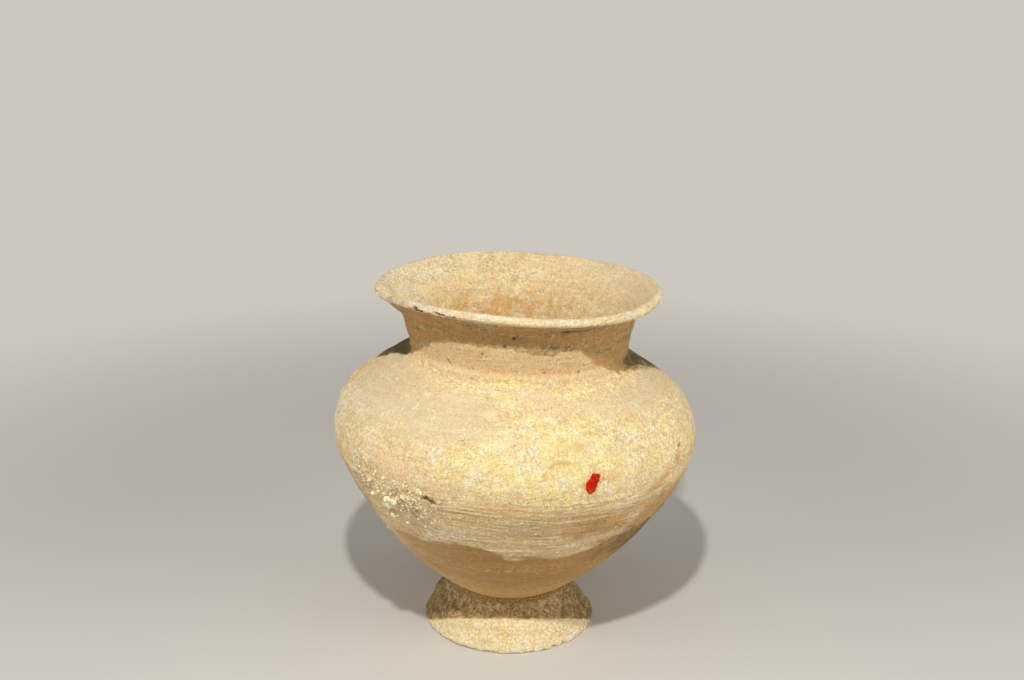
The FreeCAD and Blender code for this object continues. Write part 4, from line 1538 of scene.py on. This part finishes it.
@dataclass
class Foot:
    """The pedestal foot and the slip wedge on it. They stand upright while the jar above leans."""

    clay: bpy.types.Material
    slip: bpy.types.Material
    edge_radius: float = 43.8
    edge_height: float = 3.3
    softening: float = 1.4
    flare_round: float = 67.0
    neck_radius: float = 31.4
    top_height: float = 21.2
    rest_radius: float = 33.5
    hollow_radius: float = 21.0
    hollow_height: float = 12.5
    slip_radius: float = 31.3
    slip_reach: float = 31.05
    slip_top: float = 23.7
    oval: float = 0.45
    oval_bearing: float = -45.0
    swell_height: float = 11.6
    swell_span: float = 4.6
    # Chips in its edge, as bearing, half width in degrees and depth.
    chips: tuple[Triple, ...] = (
        (-51, 1.6, 1.1), (-58, 2.0, 1.0), (-66, 1.3, 0.5), (-113, 1.2, 0.5), (-100, 1.0, 0.4),
        (-20, 2.0, 0.5), (-140, 2.0, 0.4), (60, 3.0, 0.8), (150, 2.5, 0.7),
    )

    def build(self) -> None:
        """Make the foot and its slip."""
        piece, sites = lathe("foot_pedestal", self.profile())
        hollow = self.shape(piece, sites)
        self.tint(piece, sites, hollow)
        place(piece, "pedestal_foot", "buff_clay", self.clay)
        ring, places = lathe("foot_slip_wedge", self.wedge())
        ragged = places.outer * 0.25 * noise(places.spots, 3.0, 71, 2)
        where = read_points(ring)
        where[:, :2] *= (1 + ragged / np.maximum(places.reach, 1.0))[:, None]
        upper = step_between(21.2, 23.2, where[:, 2])[:, None]
        where = where + (leaned(where) - where) * upper
        write_points(ring, inside_box(where * MM))
        place(ring, "foot_luting_slip", "luting_slip", self.slip)

    def profile(self) -> list[Stretch]:
        """The foot's outline, from the middle of its hollow round to the middle of its top.

        Returns:
            Its stretches.
        """
        soft, edge, shelf = self.softening, self.edge_radius, self.edge_height
        hollow, top = (self.hollow_radius, self.hollow_height), (self.neck_radius, self.top_height)
        return [
            Stretch.line((0.0, self.hollow_height), hollow, 4.0, (0, 0)),
            Stretch.line(hollow, (self.rest_radius, 0.0), 1.5, (0, 0)),
            Stretch.line((self.rest_radius, 0.0), (edge - soft, 0.0), 1.5, (0, 0)),
            Stretch.arc((edge - soft, soft), soft, -90, 0, 0.3, 1),
            Stretch.line((edge, soft), (edge, shelf - soft), 0.5, (1, 1)),
            Stretch.arc((edge - soft, shelf - soft), soft, 0, 60, 0.3, 1),
            Stretch.bulged((edge - soft * 0.6, shelf - 0.1), top, self.flare_round, 1, 0.6, 1),
            Stretch.line(top, (0.0, self.top_height), 4.0, (0, 0)),
        ]

    def wedge(self) -> list[Stretch]:
        """The outline of the slip between the foot and the bowl.

        Returns:
            Its stretches.
        """
        below = self.top_height - 0.2
        low, high = (self.slip_radius, below), (self.slip_reach, self.slip_top)
        return [
            Stretch.line((0.0, below), low, 5.0, (0, 0)),
            Stretch.bulged(low, high, 4.0, 1, 0.25, 1),
            Stretch.line(high, (0.0, self.slip_top), 5.0, (0, 0)),
        ]

    def shape(self, piece: bpy.types.Object, sites: Sites) -> np.ndarray:
        """Give the foot its slight oval, chipped edge and pores.

        Args:
            piece: The foot.
            sites: Its places.

        Returns:
            How much each place lies in a pore, from 0 to 1.
        """
        spots = sites.spots
        low = step_between(12, 3, sites.height)
        out = 0.16 * noise(spots, 12.0, 81, 2) + 0.09 * noise(spots, 2.2, 82, 2)
        out += 0.4 * step_between(4.5, 2.0, sites.height) * noise(spots, 2.8, 85, 2)
        facing = np.cos(np.radians(sites.bearing))
        swell = 1.1 - 0.5 * facing + 0.9 * np.clip(-facing, 0, 1) ** 4
        out += swell * np.exp(-((sites.height - self.swell_height) / self.swell_span) ** 2)
        chips = np.zeros(len(spots))
        for bearing, width, depth in self.chips:
            chips += depth * np.exp(-(turned_from(sites.bearing, bearing) / width) ** 2)
        edge = step_between(4.5, 1.5, sites.height)
        oval = self.oval * np.cos(2 * (np.radians(sites.bearing) - math.radians(self.oval_bearing))) * low
        grow = sites.outer * (out - chips * edge) + oval * step_between(30, 36, sites.reach)
        hollow = np.zeros(len(spots))
        for mark in scattered(12, 170, 4, 20, (0.35, 0.7), (0.2, 0.5)):
            side = np.radians(turned_from(sites.bearing, mark.bearing)) * sites.reach
            away = np.hypot(side / mark.across, (sites.height - mark.height) / mark.along)
            share = step_between(1.8, 0.2, away)
            grow -= sites.outer * mark.amount * share
            hollow = np.maximum(hollow, sites.outer * share * 0.5)
        reach = np.maximum(sites.reach + sites.normal[:, 0] * grow, 0)
        reach = np.where(sites.reach < WELD, 0.0, reach)
        height = np.maximum(sites.height + sites.normal[:, 1] * grow * sites.outer, 0)
        write_points(piece, inside_box(upright(reach, sites.bearing, height) * MM))
        return hollow

    def tint(self, piece: bpy.types.Object, sites: Sites, hollow: np.ndarray) -> None:
        """Lay lime on the foot's lit tread, and paint the body's cast shadow on its waist in soil and earth
        colours.

        Args:
            piece: The foot.
            sites: Its places.
            hollow: How much each place lies in a pore.
        """
        spots = sites.spots
        tones = bare(sites)
        tones[Tone.HOLLOW] = hollow
        edge = step_between(4.5, 1.5, sites.height)
        mottle = noise(spots, 4.5, 83, 3)
        # Edge of the body's cast shadow on the foot: above it the foot is painted in shade colours.
        line = np.maximum(0.58 * np.clip(-spots[:, 1], 0, 45) - 5.5, 8 * step_between(0, 25, spots[:, 1]))
        lit_tread = step_between(0.9, -0.9, sites.height - line + 0.4 * noise(spots, 3.0, 86))
        specks = noise(spots, 0.95, 87, 2)
        sides = step_between(18, 38, np.abs(spots[:, 0]))
        tones[Tone.LIME] = np.clip((0.78 + 0.14 * mottle) * lit_tread, 0, 1) * sites.outer
        tones[Tone.BLUSH] = np.clip((0.32 - 0.14 * mottle) * lit_tread, 0, 1) * sites.outer
        painted_shade = 0.4 + 0.2 * sides - (0.26 - 0.1 * sides) * specks - 0.08 * mottle
        tones[Tone.SOIL_AND_SHADE] = np.clip(painted_shade, 0, 0.8) * (1 - lit_tread) * sites.outer
        tones[Tone.GREY] = np.clip(0.1 * lit_tread - 0.15 * mottle, 0, 0.6) * sites.outer
        earth_in_shade = 0.62 - (0.2 - 0.1 * sides) * specks - 0.1 * mottle
        tones[Tone.EARTH_AND_SHADE] = np.clip(earth_in_shade * (1 - lit_tread), 0, 1) * sites.outer + 0.4 * (1 - sites.outer)
        chalky = np.clip(0.75 + 0.5 * noise(spots, 5.0, 84, 2), 0, 1)
        tones[Tone.CHALK] = (0.4 * lit_tread + 0.5 * edge) * chalky * sites.outer
        tones[Tone.CREST] = np.full(len(spots), 0.5)
        write_tones(piece, tones)


def across_wall(centre: tuple[float, float], angle: float, start: float, end: float, step: float,
                outer: tuple[float, float]) -> Stretch:
    """A flat face across the wall, at one angle of a circle.

    Args:
        centre: Centre of the circle.
        angle: The angle.
        start: Radius on the circle where the face starts.
        end: Radius where it ends.
        step: Greatest distance between points.
        outer: Share of the outer skin at the start and at the end.

    Returns:
        The stretch.
    """
    return Stretch.line(FORM.on_circle(centre, start, angle), FORM.on_circle(centre, end, angle), step, outer)


@dataclass
class Body:
    """The thrown body: lower bowl, belly wall and shoulder, and the slip in their joints."""

    clay: bpy.types.Material
    bowl_step: float = 1.05
    belly_step: float = 0.45
    shoulder_step: float = 1.0
    inner_step: float = 3.0
    seam_step: float = 0.4
    face_step: float = 2.0

    def seam(self, centre: tuple[float, float], radius: float, angle: float) -> list[Stretch]:
        """The film of slip in a joint of the wall.

        Args:
            centre: Centre of the wall's outer curve.
            radius: Radius of that curve.
            angle: Angle of the joint.

        Returns:
            Its stretches.
        """
        half, inner = FORM.half_slip(radius), radius - FORM.wall
        low, high = angle - half, angle + half
        return [
            Stretch.arc(centre, radius, low, high, self.seam_step, 1),
            across_wall(centre, high, radius, inner, self.face_step, (1, 0)),
            Stretch.arc(centre, inner, high, low, self.inner_step, 0),
            across_wall(centre, low, inner, radius, self.face_step, (0, 1)),
        ]

    def lower_bowl(self) -> list[Stretch]:
        """The scraped bowl with its thick floor.

        Returns:
            Its stretches.
        """
        centre, radius = FORM.lower_centre, FORM.lower_round
        inner = radius - FORM.wall
        base = FORM.lower_angle(radius, FORM.base_height)
        top = FORM.lower_joint - FORM.half_slip(radius)
        turn = FORM.floor_round
        bend_height = FORM.floor_height + turn
        bend = (centre[0] + math.sqrt((inner - turn) ** 2 - (bend_height - centre[1]) ** 2), bend_height)
        tangent = math.degrees(math.atan2(bend[1] - centre[1], bend[0] - centre[0]))
        return [
            Stretch.line((0.0, FORM.base_height), FORM.on_circle(centre, radius, base), 5.0, (0, 0)),
            Stretch.arc(centre, radius, base, top, self.bowl_step, 1),
            across_wall(centre, top, radius, inner, self.face_step, (1, 0)),
            Stretch.arc(centre, inner, top, tangent, self.inner_step, 0),
            Stretch.arc(bend, turn, tangent, -90, 1.0, 0),
            Stretch.line((bend[0], FORM.floor_height), (0.0, FORM.floor_height), 4.0, (0, 0)),
        ]

    def belly_wall(self) -> list[Stretch]:
        """The ridged wall, which turns upright at its top.

        Returns:
            Its stretches.
        """
        low = FORM.lower_joint + FORM.half_slip(FORM.lower_round)
        top = FORM.belly_joint - FORM.half_slip(FORM.belly_round)
        lower, belly = FORM.lower_round, FORM.belly_round
        return [
            Stretch.arc(FORM.lower_centre, lower, low, FORM.lower_blend, self.belly_step, 1),
            Stretch.arc(FORM.belly_centre, belly, FORM.lower_blend, top, self.belly_step, 1),
            across_wall(FORM.belly_centre, top, belly, belly - FORM.wall, self.face_step, (1, 0)),
            Stretch.arc(FORM.belly_centre, belly - FORM.wall, top, FORM.lower_blend, self.inner_step, 0),
            Stretch.arc(FORM.lower_centre, lower - FORM.wall, FORM.lower_blend, low, self.inner_step, 0),
            across_wall(FORM.lower_centre, low, lower - FORM.wall, lower, self.face_step, (0, 1)),
        ]

    def shoulder_dome(self) -> list[Stretch]:
        """The shoulder, closed in to the opening that the neck stands on.

        Returns:
            Its stretches.
        """
        low = FORM.belly_joint + FORM.half_slip(FORM.belly_round)
        opening = FORM.shoulder_angle(FORM.opening_radius)
        belly, shoulder = FORM.belly_round, FORM.shoulder_round
        centre = FORM.shoulder_centre
        return [
            Stretch.arc(FORM.belly_centre, belly, low, FORM.shoulder_blend, self.shoulder_step, 1),
            Stretch.arc(centre, shoulder, FORM.shoulder_blend, FORM.coil_angle, self.shoulder_step, 1),
            Stretch.arc(centre, shoulder, FORM.coil_angle, opening, 2.0, 1),
            across_wall(centre, opening, shoulder, shoulder - FORM.wall, 1.5, (0, 0)),
            Stretch.arc(centre, shoulder - FORM.wall, opening, FORM.shoulder_blend, self.inner_step, 0),
            Stretch.arc(FORM.belly_centre, belly - FORM.wall, FORM.shoulder_blend, low, self.inner_step, 0),
            across_wall(FORM.belly_centre, low, belly - FORM.wall, belly, self.face_step, (0, 1)),
        ]

    def build(self) -> None:
        """Make the three sections and the slip between them."""
        low_seam = self.seam(FORM.lower_centre, FORM.lower_round, FORM.lower_joint)
        belly_seam = self.seam(FORM.belly_centre, FORM.belly_round, FORM.belly_joint)
        for name, profile, node in (("bowl_lower", self.lower_bowl(), "lower_bowl"),
                                    ("wall_belly", self.belly_wall(), "belly_wall"),
                                    ("dome_shoulder", self.shoulder_dome(), "shoulder_dome")):
            place(thrown(name, profile), node, "buff_clay", self.clay)
        for name, profile, node in (("seam_lower", low_seam, "lower_luting_slip"),
                                    ("seam_belly", belly_seam, "belly_luting_slip")):
            place(thrown(name, profile), node, "luting_slip", self.clay)


@dataclass
class Neck:
    """The neck: coil, collar and flared lip, and the slip that holds them."""

    clay: bpy.types.Material
    step: float = 0.5
    lip_step: float = 0.36
    throat_step: float = 0.6
    bore_step: float = 0.8

    def collar(self) -> list[Stretch]:
        """The thrown neck on its slip.

        Returns:
            Its stretches.
        """
        centre, on_slip = FORM.shoulder_centre, FORM.shoulder_round + FORM.slip
        crease, opening = FORM.shoulder_angle(FORM.crease_radius), FORM.shoulder_angle(FORM.opening_radius)
        start = FORM.on_circle(centre, on_slip, crease)
        inner = FORM.on_circle(centre, on_slip, opening)
        return [
            Stretch.line(start, FORM.heel, self.step, (1, 1)),
            Stretch.bulged(FORM.heel, FORM.collar_top, FORM.collar_round, -1, self.step, 1),
            Stretch.line(FORM.collar_top, FORM.collar_inner, 1.5, (1, 0)),
            Stretch.bulged(FORM.collar_inner, inner, FORM.collar_round, 1, self.bore_step, 0),
            Stretch.arc(centre, on_slip, opening, crease, 1.5, 0),
        ]

    def coil(self) -> list[Stretch]:
        """The coil smoothed into the crease.

        Returns:
            Its stretches.
        """
        centre, radius = FORM.shoulder_centre, FORM.shoulder_round
        on_slip = radius + FORM.slip
        crease = FORM.shoulder_angle(FORM.crease_radius)
        foot = FORM.on_circle(centre, radius, FORM.coil_angle)
        return [
            Stretch.bulged(foot, FORM.heel, FORM.coil_round, 1, 0.35, 1),
            Stretch.line(FORM.heel, FORM.on_circle(centre, on_slip, crease), 1.0, (1, 1)),
            across_wall(centre, crease, on_slip, radius, 1.0, (1, 1)),
            Stretch.arc(centre, radius, crease, FORM.coil_angle, 1.0, 1),
        ]

    def neck_slip(self) -> list[Stretch]:
        """The film of slip under the neck.

        Returns:
            Its stretches.
        """
        centre, radius = FORM.shoulder_centre, FORM.shoulder_round
        on_slip = radius + FORM.slip
        crease, opening = FORM.shoulder_angle(FORM.crease_radius), FORM.shoulder_angle(FORM.opening_radius)
        return [
            across_wall(centre, crease, radius, on_slip, 1.0, (1, 1)),
            Stretch.arc(centre, on_slip, crease, opening, 1.5, 0),
            across_wall(centre, opening, on_slip, radius, 1.0, (0, 0)),
            Stretch.arc(centre, radius, opening, crease, 1.5, 0),
        ]

    def lip(self) -> list[Stretch]:
        """The flared lip with its rounded edge.

        Returns:
            Its stretches.
        """
        foot = (FORM.collar_top[0], FORM.collar_top[1] + FORM.slip)
        under = FORM.rim_height - 2 * FORM.lip_round
        inner = (FORM.collar_inner[0], FORM.collar_inner[1] + FORM.slip)
        middle = (FORM.lip_bead, FORM.rim_height - FORM.lip_round)
        return [
            Stretch.bulged(foot, (FORM.lip_under, under), FORM.flare_round, 1, self.lip_step, 1),
            Stretch.line((FORM.lip_under, under), (FORM.lip_bead, under), self.lip_step, (1, 1)),
            Stretch.arc(middle, FORM.lip_round, -90, 90, self.lip_step, 1),
            Stretch.bulged((FORM.lip_bead, FORM.rim_height), inner, FORM.throat_round, -1,
                           self.throat_step, 0),
            Stretch.line(inner, foot, 1.5, (0, 1)),
        ]

    def lip_slip(self) -> list[Stretch]:
        """The film of slip under the lip.

        Returns:
            Its stretches.
        """
        top = (FORM.collar_top[0], FORM.collar_top[1] + FORM.slip)
        inner = (FORM.collar_inner[0], FORM.collar_inner[1] + FORM.slip)
        return [
            Stretch.line(FORM.collar_top, top, self.step, (1, 1)),
            Stretch.line(top, inner, 1.5, (1, 0)),
            Stretch.line(inner, FORM.collar_inner, self.step, (0, 0)),
            Stretch.line(FORM.collar_inner, FORM.collar_top, 1.5, (0, 1)),
        ]

    def build(self) -> None:
        """Make the pieces of the neck."""
        for name, profile, node, slot in (("coil_neck", self.coil(), "neck_fillet_coil", "buff_clay"),
                                          ("collar_neck", self.collar(), "neck_collar", "buff_clay"),
                                          ("lip_rim", self.lip(), "rim_lip", "buff_clay"),
                                          ("seam_neck", self.neck_slip(), "neck_luting_slip", "luting_slip"),
                                          ("seam_lip", self.lip_slip(), "lip_luting_slip", "luting_slip")):
            place(thrown(name, profile), node, slot, self.clay)


@dataclass
class LimeCrust:
    """Crumbs of lime grown on the left of the belly."""

    finish: bpy.types.Material
    # The larger lumps, as bearing, height and radius.
    lumps: tuple[Triple, ...] = (
        (-131.7, 90.9, 1.6), (-129.8, 91.7, 1.7), (-128.7, 90.9, 1.5), (-133.1, 87.4, 1.6),
        (-131.1, 88.0, 1.8), (-129.8, 87.3, 1.4), (-133.2, 84.8, 1.3), (-128.8, 87.0, 0.9),
        (-136.5, 79.4, 1.1), (-133.7, 81.7, 1.5), (-131.7, 82.3, 1.5), (-130.9, 81.6, 1.0),
        (-138.2, 90.6, 0.9), (-140.3, 100.9, 0.5), (-141.4, 94.9, 0.7), (-139.9, 94.2, 0.7),
        (-138.6, 93.3, 0.6), (-126.6, 78.6, 0.8), (-126.6, 82.2, 0.5), (-117.4, 101.0, 0.8),
    )
    crumbs: int = 170
    seed: int = 21
    sink: float = 0.35
    sunk_from: float = 0.55
    fine_from: float = 0.75
    most_turn: float = 6.28
    roughness: float = 0.42

    def build(self) -> None:
        """Make the lumps and the smaller crumbs round them."""
        chance = np.random.default_rng(self.seed)
        lumps = list(self.lumps)
        for _ in range(self.crumbs):
            lumps.append((chance.normal(-130, 9), chance.normal(92, 7), chance.uniform(0.22, 0.58)))
        bearing, height, size = (np.array(column) for column in zip(*lumps))
        sites = wall_sites(bearing, np.array([way_up(level) for level in height]))
        seats = set_on_wall(sites)
        outward = set_on_wall(sites, 1.0) - seats
        mesh = bmesh.new()
        for seat, out, radius in zip(seats, outward, size):
            cuts = 4 if radius > self.fine_from else 2
            lift = self.sink if radius > self.sunk_from else 0.0
            grown = bmesh.ops.create_icosphere(mesh, subdivisions=cuts, radius=radius)
            turned = Matrix.Rotation(chance.uniform(0, self.most_turn), 4, Vector(chance.normal(size=3)))
            seated = Matrix.Translation(seat + out * radius * lift)
            squashed = Matrix.Diagonal((*chance.uniform(0.7, 1.3, 3), 1))
            bmesh.ops.transform(mesh, matrix=seated @ turned @ squashed, verts=grown["verts"])
        for face in mesh.faces:
            face.smooth = True
        piece = finished("crust_lime", mesh)
        where = read_points(piece)
        normals = np.array([vertex.normal for vertex in piece.data.vertices])
        rough = self.roughness * noise(where, 1.5, 91, 3)
        write_points(piece, inside_box((where + normals * rough[:, None]) * MM))
        place(piece, "lime_crust_lumps", "lime_crust", self.finish)


@dataclass
class PaintDab:
    """The slanting dab of red paint on the right of the belly."""

    finish: bpy.types.Material
    bearing: float = -67.5
    height: float = 110.0
    film: float = 0.34
    sunk_edge: float = 0.06
    thickness: float = 0.15
    cells: int = 56
    # Its edge, as angle from the right, anticlockwise, and distance from its middle.
    edge: tuple[tuple[float, float], ...] = (
        (-145.4, 4.23), (-116.2, 5.01), (-99.3, 4.86), (-47.0, 2.32), (2.4, 2.38), (33.6, 3.79),
        (44.4, 5.29), (91.8, 4.90), (121.3, 3.04), (153.4, 3.36), (180.0, 3.64),
    )

    def build(self) -> None:
        """Make the dab as a domed film that follows the wall."""
        mesh = bmesh.new()
        bmesh.ops.create_grid(mesh, x_segments=self.cells, y_segments=self.cells, size=1.0)
        flat = np.array([vertex.co[:2] for vertex in mesh.verts])
        disc = flat * np.sqrt(1 - flat[:, ::-1] ** 2 / 2)
        reach = np.hypot(*disc.T)
        turn = np.degrees(np.arctan2(disc[:, 1], disc[:, 0]))
        spread = around(turn, self.edge) * (1 + 0.03 * np.sin(np.radians(9 * turn)))
        across, along = (disc * spread[:, None]).T
        bearing = self.bearing + np.degrees(across / reach_at(self.height))
        sites = wall_sites(bearing, way_up(self.height) + along)
        dome = np.sqrt(np.clip(1 - reach ** 4, 0, 1))
        streak = 0.06 * noise(np.stack([across * 2.2, along, across * 0], axis=1), 1.6, 95, 2)
        lift = self.film * dome - self.sunk_edge + streak * dome
        seats = set_on_wall(sites)
        where = seats + (set_on_wall(sites, 1.0) - seats) * lift[:, None]
        for vertex, spot in zip(mesh.verts, where):
            vertex.co = spot * MM
        bmesh.ops.recalc_face_normals(mesh, faces=mesh.faces[:])
        out = Vector(where[len(where) // 2]) * Vector((1, 1, 0))
        if sum((face.normal for face in mesh.faces), Vector()).dot(out) < 0:
            bmesh.ops.reverse_faces(mesh, faces=mesh.faces[:])
        bmesh.ops.solidify(mesh, geom=mesh.faces[:], thickness=self.thickness * MM)
        for face in mesh.faces:
            face.smooth = True
        place(finished("dab_red_paint", mesh), "red_paint_dab", "red_paint", self.finish)


@dataclass
class Studio:
    """Pale floor, soft lamps and the camera at the photograph's angle."""

    paper: bpy.types.Material
    floor_size: float = 60.0
    lens: float = 42.71
    camera_place: Triple = (0.00172, -0.578, 0.3207)
    camera_pitch: float = 73.534
    key_place: Triple = (-0.03, -0.48, 0.635)
    key_size: float = 0.03
    key_power: float = 3.12
    right_place: Triple = (0.85, -0.35, 0.36)
    right_power: float = 3.25
    left_place: Triple = (-0.9, -0.32, 0.42)
    left_power: float = 2.75
    fill_size: float = 0.6
    lamp_aim: Triple = (0.0, -0.01, 0.11)
    world_strength: float = 0.29

    def lamp(self, name: str, place: Triple, size: float, power: float) -> None:
        """Set one soft lamp that faces the jar.

        Args:
            name: Its name.
            place: Where it stands, in metres.
            size: Its diameter, in metres.
            power: Its power, in watts.
        """
        lamp = bpy.data.lights.new(name, "AREA")
        lamp.shape = "DISK"
        lamp.size = size
        lamp.energy = power
        stand = bpy.data.objects.new(name, lamp)
        stand.location = place
        stand.rotation_euler = (Vector(self.lamp_aim) - Vector(place)).to_track_quat("-Z", "Y").to_euler()
        bpy.context.scene.collection.objects.link(stand)

    def build(self) -> None:
        """Set the floor, the lamps, the world and the camera."""
        mesh = bmesh.new()
        bmesh.ops.create_grid(mesh, x_segments=1, y_segments=1, size=self.floor_size / 2)
        floor = finished("studio_floor", mesh)
        floor.data.materials.append(self.paper)
        self.lamp("soft_key", self.key_place, self.key_size, self.key_power)
        self.lamp("right_fill", self.right_place, self.fill_size, self.right_power)
        self.lamp("left_fill", self.left_place, self.fill_size, self.left_power)
        world = bpy.data.worlds.new("soft_room")
        world.use_nodes = True
        world.node_tree.nodes.clear()
        light = {"Color": (1, 1, 1, 1), "Strength": self.world_strength}
        glow = add_node(world.node_tree, "ShaderNodeBackground", light)
        add_node(world.node_tree, "ShaderNodeOutputWorld", {"Surface": glow.outputs[0]})
        bpy.context.scene.world = world
        sight = bpy.data.cameras.new("photo_view")
        sight.lens = self.lens
        sight.clip_start = 0.01
        camera = bpy.data.objects.new("photo_view", sight)
        camera.location = self.camera_place
        camera.rotation_euler = (math.radians(self.camera_pitch), 0, 0)
        bpy.context.scene.collection.objects.link(camera)
        bpy.context.scene.camera = camera
        bpy.context.scene.view_settings.view_transform = "Standard"


def main() -> None:
    """Build the jar from its sub-assemblies and set it in the studio."""
    logging.basicConfig(level=logging.INFO, format="%(message)s")
    clay = BuffEarthenware().build()
    slip = LutingSlip().build()
    Studio(StudioPaper().build()).build()
    Foot(clay, slip).build()
    Body(clay).build()
    Neck(clay).build()
    LimeCrust(LimeCrustFinish().build()).build()
    PaintDab(RedGlossPaint().build()).build()


if __name__ == "__main__":
    main()
